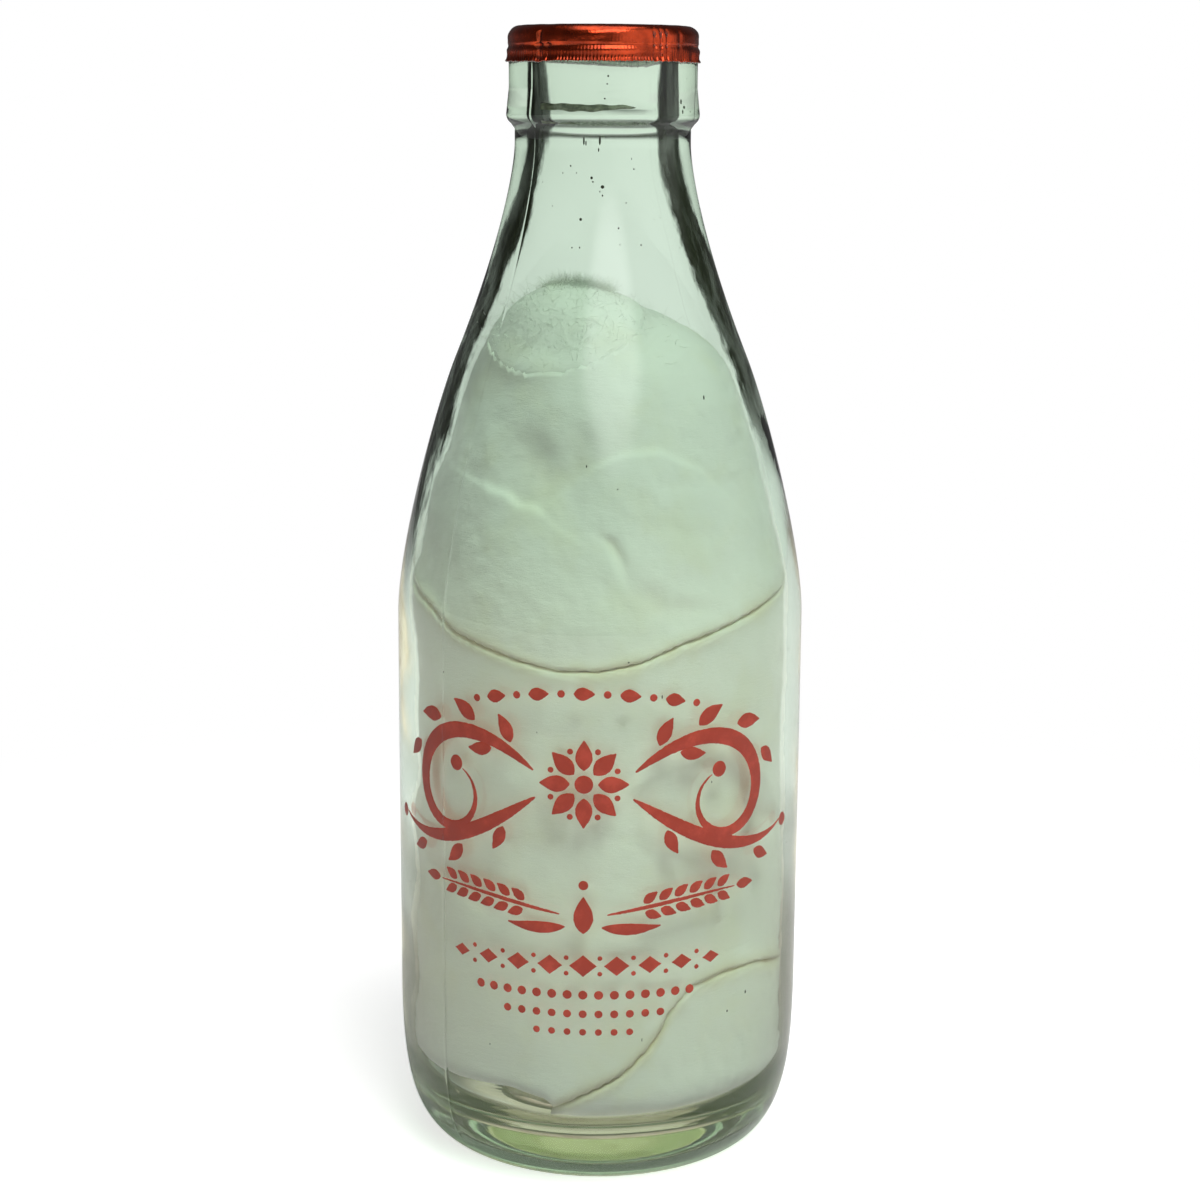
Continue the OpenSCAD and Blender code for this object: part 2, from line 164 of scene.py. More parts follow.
def straight(a, b, steps):
    """Points strictly between a and b."""
    t = np.linspace(0, 1, steps + 1)[1:-1, None]
    return np.array(a) * (1 - t) + np.array(b) * t


def normals_2d(p):
    """Left-hand normals of an open outline of [r, z] points."""
    d = np.gradient(p, axis=0)
    n = np.stack([d[:, 1], -d[:, 0]], 1)
    return n / np.maximum(np.linalg.norm(n, axis=1, keepdims=True), 1e-12)


def waves(seed, count, turns, per_m):
    """A smooth field over angle and height made of a few sine waves, between -1 and 1."""
    rng = random.Random(seed)
    parts = []
    for _ in range(count):
        parts.append((rng.randint(*turns), rng.uniform(*per_m), rng.uniform(0, 6.28), rng.uniform(0.5, 1)))
    total = sum(p[3] for p in parts)

    def field(angle, z):
        out = 0
        for around, up, phase, weight in parts:
            out = out + weight * np.sin(around * angle + 2 * math.pi * up * z + phase)
        return out / total * 1.6

    return field


def turn_from(at, angles):
    """The shorter turn from the angle at to each of the angles, in radians."""
    return (angles - at + math.pi) % (2 * math.pi) - math.pi


def smoothstep(x, a, b):
    """Eases from 0 at a to 1 at b."""
    t = np.clip((np.asarray(x, float) - a) / (b - a), 0, 1)
    return t * t * (3 - 2 * t)


def revolve(outline, angles, displace):
    """Corners and faces of an outline turned about Z. The outline's ends lie on the axis.

    displace(angle, index) gives how far each ring's points move along the outline's normal.
    """
    n = normals_2d(outline)
    rings = []
    for i in range(1, len(outline) - 1):
        d = displace(angles, i)
        r = outline[i, 0] + d * n[i, 0]
        z = outline[i, 1] + d * n[i, 1]
        rings.append(np.stack([r * np.sin(angles), -r * np.cos(angles), z + 0 * angles], 1))
    m, k = len(rings), len(angles)
    verts = np.concatenate(rings + [[[0, 0, outline[0, 1]]], [[0, 0, outline[-1, 1]]]])
    j = np.arange(k)
    jn = (j + 1) % k
    faces = []
    for i in range(m - 1):
        a, b = i * k, (i + 1) * k
        faces += np.stack([a + j, a + jn, b + jn, b + j], 1).tolist()
    first, last = m * k, m * k + 1
    faces += np.stack([0 * j + first, jn, j], 1).tolist()
    base = (m - 1) * k
    faces += np.stack([base + j, base + jn, 0 * j + last], 1).tolist()
    return verts, faces


# ---------------------------------------------------------------- node materials


class Nodes:
    """A short way to write a node tree."""

    def __init__(self, tree):
        self.tree = tree
        tree.nodes.clear()

    def put(self, socket, value):
        if isinstance(value, bpy.types.NodeSocket):
            self.tree.links.new(value, socket)
        else:
            socket.default_value = value

    def add(self, kind, **values):
        """A node with its settings and sockets by name, an underscore for a space."""
        node = self.tree.nodes.new(kind)
        for key, value in values.items():
            if hasattr(node, key):
                setattr(node, key, value)
            else:
                self.put(node.inputs[key.replace("_", " ")], value)
        return node

    def shader(self, kind, **values):
        return self.add(kind, **values).outputs[0]

    def fill(self, node, values):
        """Puts the values on the node's first sockets and returns its outputs."""
        for socket, value in zip(node.inputs, values):
            self.put(socket, value)
        return node.outputs

    def math(self, operation, *values):
        return self.fill(self.add("ShaderNodeMath", operation=operation), values)[0]

    def product(self, first, *others):
        for other in others:
            first = self.math("MULTIPLY", first, other)
        return first

    def vector(self, operation, *values):
        """Outputs of a sum on vectors: the vector first, then the number."""
        return self.fill(self.add("ShaderNodeVectorMath", operation=operation), values)

    def mix(self, factor, a, b):
        """Colour a where the factor is 0, colour b where it is 1."""
        node = self.add("ShaderNodeMix", data_type="RGBA")
        for index, value in zip((0, 6, 7), (factor, a, b)):
            self.put(node.inputs[index], value)
        return node.outputs[2]

    def blend(self, factor, a, b):
        """Shader a where the factor is 0, shader b where it is 1."""
        return self.fill(self.add("ShaderNodeMixShader"), (factor, a, b))[0]

    def step(self, value, low, high, out_low=0.0, out_high=1.0):
        """Eases from one number at low to another at high."""
        node = self.add("ShaderNodeMapRange", interpolation_type="SMOOTHSTEP")
        return self.fill(node, (value, low, high, out_low, out_high))[0]

    def coords(self):
        return self.add("ShaderNodeTexCoord").outputs["Object"]

    def parts(self, vector):
        return self.add("ShaderNodeSeparateXYZ", Vector=vector).outputs

    def scaled(self, vector, scale):
        return self.add("ShaderNodeMapping", Vector=vector, Scale=scale).outputs[0]

    def noise(self, coords, scale, detail=3.0, rough=0.55):
        node = self.add("ShaderNodeTexNoise", Vector=coords, Scale=scale, Detail=detail, Roughness=rough)
        return node.outputs[0]

    def bump(self, height, strength, distance):
        return self.shader("ShaderNodeBump", Strength=strength, Distance=distance, Height=height)


def new_material(name):
    material = bpy.data.materials.new(name)
    material.use_nodes = True
    return material, Nodes(material.node_tree)


def rgba(c):
    return (c[0], c[1], c[2], 1.0)


def painted_neck_bars(n, coords):
    """How much painted dark reflection covers the inner wall, 0 to 1: its bars lie between two slants that
    shift with the height.
    """
    x, _, z = n.parts(coords)
    upright = n.scaled(coords, (1, 1, 0.12))
    ragged = n.math("MULTIPLY_ADD", n.noise(upright, 700.0, 3.0), 0.06, -0.030)
    mottle = n.step(n.noise(upright, 260.0, 4.0, 0.7), 0.36, 0.60, 0.86, 1.0)
    slant = n.math("ADD", n.add("ShaderNodeLayerWeight", Blend=0.5).outputs["Facing"], ragged)
    near = n.step(z, 145 * MM, 197 * MM, 0.248, 0.186)
    far = n.step(z, 125 * MM, 200 * MM, 0.292, 0.352)
    start = n.step(n.math("SUBTRACT", slant, near), -0.014, 0.014)
    stop = n.step(n.math("SUBTRACT", slant, far), -0.015, 0.015, 1.0, 0.0)
    inner = n.add("ShaderNodeAttribute", attribute_name="inner").outputs["Fac"]
    inside = n.add("ShaderNodeNewGeometry").outputs["Backfacing"]
    foot = n.step(n.math("MULTIPLY_ADD", x, -0.40, z), 116 * MM, 142 * MM)
    return n.product(start, stop, inner, inside, mottle, foot)


def painted_base_glow(n, coords, turns):
    """Where light that went round in the base and the wall is lost, and the painted glow of light put in
    its place.
    """
    x, y, z = n.parts(coords)
    # The square of the distance from the axis, so that its limits are squares as well
    wide = n.math("MULTIPLY_ADD", x, x, n.math("MULTIPLY", y, y))
    pale_edge, dark_ring, dome_edge = 0.00023, 0.00036, 0.00041
    marbled = n.step(n.noise(coords, 170.0, 5.0, 0.7), 0.38, 0.56, 0.55, 1.0)
    # Painted glow colours: mottled pale light in the middle, dark olive shade towards the edge
    pale = n.mix(marbled, (0.21, 0.16, 0.08, 1), (0.54, 0.49, 0.38, 1))
    painted_glow_tone = n.mix(n.step(wide, pale_edge, dark_ring), pale, (0.10, 0.12, 0.065, 1))
    high = n.step(z, 16 * MM, 30 * MM)
    strength = n.math("MULTIPLY_ADD", high, 1.3, 1.0)
    glow = n.shader("ShaderNodeEmission", Color=n.mix(high, painted_glow_tone, pale), Strength=strength)
    base = n.product(n.math("GREATER_THAN", turns, 4.5), n.step(z, 12 * MM, 20 * MM, 1.0, 0.0))
    wall = n.product(n.math("GREATER_THAN", turns, 5.5), n.step(z, 100 * MM, 130 * MM, 1.0, 0.0))
    under = n.product(n.math("LESS_THAN", wide, dome_edge), n.math("LESS_THAN", z, 4 * MM))
    dome = n.product(under, n.math("GREATER_THAN", turns, 0.5))
    return n.math("MAXIMUM", n.math("MAXIMUM", base, wall), dome), glow


def glass_material(glass):
    """Pale moulded glass. Lamps pass straight in, so that the wadding is lit.

    The inner wall swallows slanting rays where the glass is thick, from the shoulder up: a painted dark
    reflection, which stands for a dark room round the white backdrop and draws the neck's dark upright bars
    from every side. Light that has gone round in the thick base for a while ends there in a painted glow,
    mottled pale in the middle and dark olive towards the base's edge.
    """
    material, n = new_material("bottle_glass")
    coords = n.coords()
    peel = n.bump(n.noise(coords, 160.0, 2.0), 0.10, 0.2 * MM)
    body = n.shader(
        "ShaderNodeBsdfPrincipled",
        Base_Color=(1, 1, 1, 1),
        Roughness=0.0,
        IOR=1.52,
        Transmission_Weight=1.0,
        Normal=peel,
    )
    # Painted dark reflection: a near-black matt skin takes over on the inner wall's bars
    dark = n.shader("ShaderNodeBsdfDiffuse", Color=(0.022, 0.028, 0.014, 1))
    painted_barred = n.blend(painted_neck_bars(n, coords), body, dark)
    path = n.add("ShaderNodeLightPath").outputs
    # A painted glow, where no lamp is, ends light that went round in the thick base
    lost, glow = painted_base_glow(n, coords, path["Ray Depth"])
    clear = n.shader("ShaderNodeBsdfTransparent", Color=rgba(glass.lamp_tint))
    surface = n.blend(path["Is Shadow Ray"], n.blend(lost, painted_barred, glow), clear)
    per_metre = [-math.log(max(c, 0.01)) / (10 * MM) for c in glass.tint]
    density = max(per_metre)
    hue = (*[1 - v / density for v in per_metre], 1)
    absorb = n.shader("ShaderNodeVolumeAbsorption", Density=density, Color=hue)
    n.add("ShaderNodeOutputMaterial", Surface=surface, Volume=absorb)
    return material


def speck_material(name, tone):
    """Dull grey-green matter in or on the glass, uneven in tone."""
    material, n = new_material(name)
    patches = n.step(n.noise(n.coords(), 900.0, 4.0), 0.35, 0.65)
    mottled = n.mix(patches, rgba(tone), rgba([2.2 * c for c in tone]))
    body = n.shader("ShaderNodeBsdfPrincipled", Base_Color=mottled, Roughness=0.7)
    n.add("ShaderNodeOutputMaterial", Surface=body)
    return material


def foil_material(cap):
    """Red lacquer over bright foil, with fine crinkles and thin spots, and bare metal on its inside."""
    material, n = new_material("red_foil")
    coords = n.coords()
    blotch = n.noise(coords, 220.0, 3.0)
    dark = [0.45 * c for c in cap.lacquer]
    lacquer = n.mix(n.step(blotch, 0.35, 0.7), rgba(dark), rgba(cap.lacquer))
    face = n.add("ShaderNodeTexCoord").outputs["Normal"]
    outward = n.vector("DOT_PRODUCT", face, n.scaled(coords, (1, 1, 0)))["Value"]
    down = n.math("LESS_THAN", n.parts(face)[2], -0.7)
    bare = n.math("MAXIMUM", n.math("LESS_THAN", outward, -1 * MM), down)
    body = n.shader(
        "ShaderNodeBsdfPrincipled",
        Base_Color=n.mix(bare, lacquer, (0.62, 0.64, 0.60, 1)),
        Metallic=1.0,
        Roughness=n.step(blotch, 0.3, 0.75, 0.30, 0.16),
        Coat_Weight=0.3,
        Coat_Roughness=0.12,
        Normal=n.bump(n.noise(coords, 900.0, 4.0, 0.6), 0.35, 0.2 * MM),
    )
    n.add("ShaderNodeOutputMaterial", Surface=body)
    return material


def cotton_material(wads):
    """Loose cotton: matt and fibrous, with painted shade in its creases, darker and yellower, and a painted
    glow of light from the base on its underside.
    """
    material, n = new_material("cotton_wadding")
    coords = n.coords()
    fibre = n.noise(n.scaled(coords, (0.35, 0.35, 1)), 1500.0, 6.0, 0.75)
    patches = n.noise(coords, 90.0, 3.0)
    warm = [c * k for c, k in zip(wads.cotton, (0.97, 0.96, 0.90))]
    crease_shade_tone = [c * k for c, k in zip(wads.cotton, (0.86, 0.80, 0.66))]
    tone = n.mix(n.step(patches, 0.45, 0.75), rgba(wads.cotton), rgba(warm))
    # Painted shade: creases and the seams between wads turn darker and yellower
    crease = n.add("ShaderNodeAttribute", attribute_name="crease").outputs["Fac"]
    tone = n.mix(n.product(crease, n.step(patches, 0.3, 0.6, 0.35, 1.0)), tone, rgba(crease_shade_tone))
    face = n.add("ShaderNodeNewGeometry").outputs["Normal"]
    # Painted light: low, downward faces glow pale olive as if lit from the floor through the base
    low = n.step(n.parts(coords)[2], 13 * MM, 22 * MM, 1.0, 0.0)
    under = n.product(low, n.step(n.parts(face)[2], -0.9, -0.3, 1.0, 0.0), 0.75)
    body = n.shader(
        "ShaderNodeBsdfPrincipled",
        Base_Color=tone,
        Roughness=0.95,
        Sheen_Weight=0.25,
        Sheen_Roughness=0.6,
        Specular_IOR_Level=0.1,
        Emission_Color=(0.40, 0.42, 0.27, 1),
        Emission_Strength=under,
        Normal=n.bump(fibre, 0.35, 0.3 * MM),
    )
    n.add("ShaderNodeOutputMaterial", Surface=body)
    return material


def ink_material(settings):
    """Fired enamel: semi-gloss red-orange, slightly thin and uneven."""
    material, n = new_material("fired_enamel")
    coords = n.coords()
    patches = n.noise(coords, 260.0, 4.0, 0.6)
    thin = [min(1, 1.35 * c + 0.015) for c in settings.ink]
    body = n.shader(
        "ShaderNodeBsdfPrincipled",
        Base_Color=n.mix(n.step(patches, 0.42, 0.72), rgba(settings.ink), rgba(thin)),
        Roughness=n.step(patches, 0.3, 0.7, 0.34, 0.46),
        Normal=n.bump(n.noise(coords, 2600.0, 2.0), 0.2, 0.1 * MM),
    )
    n.add("ShaderNodeOutputMaterial", Surface=body)
    return material


# ---------------------------------------------------------------- glass


BEAD_ROUND = 2.2 * MM
MOUTH_ROUND = 2.2 * MM
SHOULDER_EASE = 0.24  # share of the shoulder's height over which its curve leaves each end


def levels(g):
    """Heights where the shoulder, the neck's foot and the neck's top lie, and the side's lean at the foot."""
    shoulder_z = g.heel_h + g.straight_h
    foot_z = shoulder_z + g.shoulder_h
    lean = np.array([math.sin(g.neck_lean), math.cos(g.neck_lean)])
    return shoulder_z, foot_z, foot_z + g.neck_h, lean


def outer_outline(g):
    """The bottle's outside, from the bearing ring's outer edge to the mouth's inner edge."""
    shoulder_z, foot_z, neck_z, lean = levels(g)
    bead_z = neck_z + g.collar_h
    heel = [
        (g.foot_r, 0),
        (g.foot_r + (BODY_R - g.foot_r) * 0.94, 0),
        (BODY_R, g.heel_h * 0.385),
        (BODY_R, g.heel_h),
    ]
    reach = g.shoulder_h * SHOULDER_EASE
    foot = np.array([g.neck_foot_r, foot_z])
    shoulder = [(BODY_R, shoulder_z), (BODY_R, shoulder_z + reach), foot + reach * lean * [1, -1], foot]
    neck = [
        foot,
        foot + g.neck_h * 0.55 * lean * [-1, 1],
        (g.neck_r, neck_z - g.neck_h * 0.13),
        (g.neck_r, neck_z),
    ]
    bead_foot = (g.bead_r, bead_z + BEAD_ROUND)
    parts = [
        [(g.foot_r, 0)],
        bezier(heel, 40),
        [(BODY_R, g.heel_h)],
        straight((BODY_R, g.heel_h), (BODY_R, shoulder_z), 24),
        [(BODY_R, shoulder_z)],
        bezier(shoulder, 40),
        [foot],
        bezier(neck, 36),
        [(g.neck_r, neck_z), (g.neck_r, bead_z - 0.5 * MM)],
        arc((g.bead_r - BEAD_ROUND, bead_z + BEAD_ROUND), BEAD_ROUND, -55, 0, 9),
        straight(bead_foot, (g.lip_r, bead_z + g.bead_h), 6),
        [(g.lip_r, bead_z + g.bead_h)],
        straight((g.lip_r, bead_z + g.bead_h), (g.lip_r, GLASS_TOP - g.lip_round), 6),
        arc((g.lip_r - g.lip_round, GLASS_TOP - g.lip_round), g.lip_round, 0, 90, 8),
        arc((BORE_R + MOUTH_ROUND, GLASS_TOP - MOUTH_ROUND), MOUTH_ROUND, 90, 180, 8),
    ]
    return np.concatenate([np.array(p, float) for p in parts])


def inner_outline(g, gap=0.0):
    """The cavity's wall from the floor's centre up to the bore, held gap off the glass."""
    shoulder_z, foot_z, neck_z, lean = levels(g)
    floor_z = g.push_up + g.base_t
    r = BODY_R - g.wall_t
    foot = np.array([g.neck_foot_r, foot_z]) - (g.wall_t + gap) * lean[::-1]
    corner_z = floor_z + gap + 12 * MM
    basin = [(0, floor_z + gap), (r * 0.62, floor_z + gap), (r - gap, floor_z + gap), (r - gap, corner_z)]
    reach = g.shoulder_h * SHOULDER_EASE
    shoulder = [(r - gap, shoulder_z), (r - gap, shoulder_z + reach), foot + reach * lean * [1, -1], foot]
    bore = BORE_R - gap
    neck = [foot, foot + g.neck_h * 0.44 * lean * [-1, 1], (bore, neck_z - g.neck_h * 0.13), (bore, neck_z)]
    parts = [
        [(0, floor_z + gap)],
        bezier(basin, 30),
        [(r - gap, corner_z)],
        straight((r - gap, corner_z), (r - gap, shoulder_z), 28),
        [(r - gap, shoulder_z)],
        bezier(shoulder, 40),
        [foot],
        bezier(neck, 36),
        [(bore, neck_z)],
        straight((bore, neck_z), (bore, GLASS_TOP - MOUTH_ROUND), 12),
    ]
    return np.concatenate([np.array(p, float) for p in parts])


def base_outline(g):
    """The underside: a shallow dome, from its centre to the bearing ring's inner edge."""
    r = g.foot_r - g.foot_ring
    dome = [(0, g.push_up), (r * 0.5, g.push_up), (r * 0.75, g.push_up), (r, 0)]
    return np.concatenate([[(0, g.push_up)], bezier(dome, 24), [(r, 0)]])


def seam_angles(g, count):
    """Even angles round the bottle, with extra ones either side of the two mould seams."""
    seams = [g.seam_turn, g.seam_turn + math.pi]
    even = np.linspace(-math.pi, math.pi, count, endpoint=False)
    offsets = np.array([-1.0, -0.6, -0.32, -0.12, 0.12, 0.32, 0.6, 1.0]) * MM / BODY_R
    near = turn_from(0, np.concatenate([s + offsets for s in seams]))
    apart = 1.3 * MM / BODY_R
    keep = [a for a in even if min(abs(turn_from(s, a)) for s in seams) > apart]
    return np.sort(np.concatenate([keep, near])), seams


def build_glass(g, material):
    """The wall with its mould seams, its waves and a mark on the inner side."""
    under = base_outline(g)
    outer = outer_outline(g)
    inner = inner_outline(g)[::-1]
    outline = np.concatenate([under, outer, inner])
    n_under, n_outer = len(under), len(outer)
    angles, seams = seam_angles(g, 300)
    wide = waves(3, 7, (0, 3), (2, 14))
    fine = waves(5, 9, (3, 9), (8, 60))
    dips = waves(8, 6, (0, 5), (4, 22))

    def displace(a, i):
        r, z = outline[i]
        if i < n_under:
            return 0.04 * MM * np.sin(40 * a + 900 * r) * (r > 4 * MM)
        if i < n_under + n_outer:
            side = smoothstep(z, 2 * MM, 12 * MM)
            side = side * (1 - smoothstep(z, GLASS_TOP - 8 * MM, GLASS_TOP - 5 * MM))
            d = -g.outer_wave * side * (0.5 + 0.5 * dips(a, z))
            for s in seams:
                off = turn_from(s, a) * r
                ridge = 0.10 - 0.05 * smoothstep(z, 110 * MM, 150 * MM)
                d = d + ridge * MM * side * np.exp(-((off / (0.30 * MM)) ** 2))
            return d
        calm = smoothstep(GLASS_TOP - z, 3 * MM, 12 * MM)
        return -g.inner_wave * calm * (0.65 * wide(a, z) + 0.35 * fine(a, z))

    verts, faces = revolve(outline, angles, displace)
    obj = new_object("bottle_glass", verts, faces, material)
    mark = obj.data.attributes.new("inner", "FLOAT", "POINT")
    first_inner = (n_under + n_outer - 1) * len(angles)
    mark.data.foreach_set("value", [float(i >= first_inner) for i in range(len(verts))])
    return obj


SPECK_TONE = (0.022, 0.024, 0.014)
STAIN_TONE = (0.17, 0.20, 0.13)
SEEDS = [
    # [angle, height mm, half width mm, half height mm]: bubbles and ash the glass was pressed with
    (-12.2, 195.0, 0.16, 0.85), (-10.8, 194.6, 0.12, 0.5), (-1.9, 195.1, 0.2, 0.9), (-2.6, 193.4, 0.12, 0.4),
    (0, 186.8, 0.34, 0.34), (-6.8, 188.4, 0.24, 0.28), (-5.9, 187.7, 0.16, 0.16), (-12.3, 181.0, 0.26, 0.3),
    (3, 206.5, 0.16, 0.2), (2.4, 205.1, 0.14, 0.14), (1, 202.5, 0.16, 0.16), (-20.5, 190.5, 0.14, 0.18),
    (20, 190.0, 0.15, 0.15), (54, 202.0, 0.24, 0.5), (57, 201.0, 0.3, 0.3), (55, 200.2, 0.2, 0.4),
    (9, 179.5, 0.16, 0.2), (14, 184.0, 0.12, 0.12), (-16, 176.0, 0.14, 0.16), (21, 176.5, 0.12, 0.2),
]


SCATTER = [
    # [how many, heights, half widths, half heights], the last three in mm: on the neck and on the body
    (34, (172, 208), (0.07, 0.15), (0.08, 0.22)),
    (46, (24, 150), (0.08, 0.20), (0.10, 0.45)),
]


def build_seeds(g, material):
    """Specks in the outer wall, those on the front in their places and smaller ones all round."""
    rng = random.Random(19)
    specks = list(SEEDS)
    for count, heights, widths, lengths in SCATTER:
        for _ in range(count):
            turn, z = rng.uniform(-180, 180), rng.uniform(*heights)
            specks.append((turn, z, rng.uniform(*widths), rng.uniform(*lengths)))
    outline = outer_outline(g)
    order = np.argsort(outline[:, 1], kind="stable")
    zs, rs = outline[order, 1], outline[order, 0]
    verts, faces = [], []
    for degrees, z, wide, tall in specks:
        turn = math.radians(degrees)
        r = float(np.interp(z * MM, zs, rs)) - (wide + 0.35) * MM
        out, side = Vector((math.sin(turn), -math.cos(turn), 0)), Vector((math.cos(turn), math.sin(turn), 0))
        base = len(verts)
        at = out * r + Vector((0, 0, z * MM))
        verts.append(tuple(at - Vector((0, 0, tall * MM))))
        for lift, share in ((-0.6, 0.8), (0.1, 1.0), (0.7, 0.72)):
            for k in range(6):
                t = k * math.pi / 3
                ring = (side * math.cos(t) + out * math.sin(t)) * wide * share * MM
                verts.append(tuple(at + ring + Vector((0, 0, lift * tall * MM))))
        verts.append(tuple(at + Vector((0, 0, tall * MM))))
        for k in range(6):
            after = (k + 1) % 6
            faces.append((base, base + 1 + after, base + 1 + k))
            for row in (1, 7):
                faces.append((base + row + k, base + row + after, base + row + 6 + after, base + row + 6 + k))
            faces.append((base + 13 + k, base + 13 + after, base + 19))
    return new_object("glass_seeds", verts, faces, material)


def build_stain(material):
    """A dried ribbon of milk stone on the bore, under the bead."""
    verts, faces = [], []
    steps, r = 60, BORE_R
    for i in range(steps + 1):
        share = i / steps
        turn = math.radians(-54 + 80 * share)
        swelling = 0.55 * math.sin(math.pi * (0.25 + 0.75 * share)) ** 0.6
        half = (0.08 + swelling + 0.05 * math.sin(23 * share)) * MM
        z = (200.7 + 0.08 * math.sin(9 * share) + 0.06 * math.sin(31 * share)) * MM
        for depth in (0.03 * MM, 0.14 * MM):
            for lift in (-half, half):
                verts.append(((r - depth) * math.sin(turn), -(r - depth) * math.cos(turn), z + lift))
    for i in range(steps):
        a, b = 4 * i, 4 * i + 4
        for p, q in ((0, 1), (1, 3), (3, 2), (2, 0)):
            faces.append((a + p, a + q, b + q, b + p))
    faces += [(0, 2, 3, 1), (4 * steps + 1, 4 * steps + 3, 4 * steps + 2, 4 * steps)]
    return new_object("glass_stain", verts, faces, material)


# ---------------------------------------------------------------- cap


OVER_LIP = 0.25 * MM
BESIDE_LIP = 0.22 * MM
TOP_RING = [(10.2, 0), (10.6, 0.10), (11, 0.14), (11.4, 0.10)]  # [radius, height above the top], in mm
SKIRT = [
    # [distance out from the foil beside the lip, drop below the top], in mm: groove, bead and flared edge
    (0.02, 3.3), (-0.07, 3.55), (-0.12, 3.8), (-0.05, 4.05), (0.10, 4.3), (0.16, 4.6),
    (0.12, 4.95), (0.05, 5.3), (0.04, 5.7), (0.10, 6.05), (0.22, 6.3), (0.36, 6.5),
]


def cap_outline(g, cap):
    """The foil's inside from the top's centre to the skirt's cut edge, and its outside back to the centre."""
    top = GLASS_TOP + OVER_LIP
    r = g.lip_r + BESIDE_LIP
    bend = g.lip_round + OVER_LIP
    skirt = [(r + out * MM, top - drop * MM) for out, drop in SKIRT]
    outside = np.concatenate(
        [
            [(0, top)],
            straight((0, top), (TOP_RING[0][0] * MM, top), 16),
            [(at * MM, top + up * MM) for at, up in TOP_RING],
            straight((11.6 * MM, top), (r - bend, top), 8),
            arc((r - bend, top - bend), bend, 90, 0, 12),
            straight((r, top - bend), skirt[0], 5),
            skirt,
        ]
    )
    inside = outside + cap.foil_t * normals_2d(outside)
    inside[0, 0] = 0
    return inside, outside[::-1]


def build_cap(g, cap, material):
    """The foil with its pleats, the dents of the top and a few long creases."""
    inside, outside = cap_outline(g, cap)
    outline = np.concatenate([inside, outside])
    count = cap.pleats * 6
    angles = np.linspace(-math.pi, math.pi, count, endpoint=False)
    rng = random.Random(21)
    jitter = waves(31, 6, (3, 9), (1, 30))
    heights = [rng.uniform(0.35, 1.3) for _ in range(cap.pleats)]
    folds = np.array([heights[int((a + math.pi) / (2 * math.pi) * cap.pleats) % cap.pleats] for a in angles])
    top = outside[-1, 1]
    dents = waves(41, 8, (2, 7), (40, 160))
    crinkle = waves(43, 10, (9, 30), (80, 500))
    tatter = waves(47, 8, (20, 70), (1, 9))
    m = len(inside)
    creases = [
        # [angle, width in radians, depth in mm]
        (-0.72, 0.055, 0.30), (-0.60, 0.03, 0.16), (0.55, 0.020, 0.16), (0.63, 0.018, 0.20),
        (0.71, 0.02, 0.18), (0.90, 0.03, 0.16), (2.4, 0.05, 0.25),
    ]

    def displace(a, i):
        drop = top - outline[i, 1]
        r = outline[i, 0]
        sign = -1 if i < m else 1
        shape = np.abs(np.sin((a + 0.012 * jitter(a, 0)) * cap.pleats / 2)) ** 0.7
        edge = smoothstep(drop, 4.0 * MM, 6.2 * MM)
        deep = cap.pleat_depth * (0.10 + 0.90 * edge) * smoothstep(drop, 0.9 * MM, 3.6 * MM)
        d = deep * (shape - 0.75) * folds
        flat = smoothstep(r, 4 * MM, 15 * MM)
        d = d + 0.10 * MM * flat * dents(a, drop * 3) * smoothstep(drop, 0.05 * MM, 1.2 * MM)
        d = d + 0.025 * MM * flat * crinkle(a, drop) - 0.06 * MM
        d = d + 0.06 * MM * tatter(a, 0) * smoothstep(drop, 5.8 * MM, 6.5 * MM)
        for at, width, depth in creases:
            off = turn_from(at, a)
            d = d - depth * MM * np.exp(-((off / width) ** 2)) * smoothstep(drop, 0.2 * MM, 1.8 * MM)
        return d * sign

    verts, faces = revolve(outline, angles, displace)
    return new_object("crimped_foil_cap", verts, faces, material)


# ---------------------------------------------------------------- wadding


def cavity_gap(g, inset):
    """A function giving how far points lie outside the cavity, negative inside, from its outline."""
    outline = inner_outline(g, inset)
    order = np.argsort(outline[:, 1], kind="stable")
    zs, rs = outline[order, 1], outline[order, 0]
    floor_z = outline[0, 1]

    def gap(p):
        radius = np.hypot(p[:, 0], p[:, 1])
        wall = radius - np.interp(p[:, 2], zs, rs)
        return np.maximum(wall * 0.93, floor_z - p[:, 2])

    return gap


def soft_max(a, b, k):
    """The larger of two fields, rounded over k metres where they meet."""
    h = np.clip(0.5 - 0.5 * (b - a) / k, 0, 1)
    return b * (1 - h) + a * h + k * h * (1 - h)


def ball(at, radii, tilt):
    """Distance outside an ellipsoid whose foot is tilted to the front, good near its skin."""
    at, radii = np.array(at), np.array(radii)
    c, s = math.cos(tilt), math.sin(tilt)
    turn = np.array([[1, 0, 0], [0, c, s], [0, -s, c]])
    return lambda p: (np.linalg.norm((p - at) @ turn / radii, axis=1) - 1) * radii.min()


def turn_of(p):
    """Each point's turn from the front, in degrees."""
    return np.degrees(np.arctan2(p[:, 0], -p[:, 1]))


def sheet_height(rim, middle):
    """Height of a seam between two wads, from its rim at the wall and its middle on the axis, in mm."""
    a, z = np.array(rim).T
    a, z = np.concatenate([a - 360, a, a + 360]), np.tile(z, 3)

    def height(p):
        at_wall = np.interp(turn_of(p), a, z)
        share = smoothstep(np.hypot(p[:, 0], p[:, 1]), 5 * MM, 33 * MM)
        return (middle + (at_wall - middle) * share) * MM

    return height


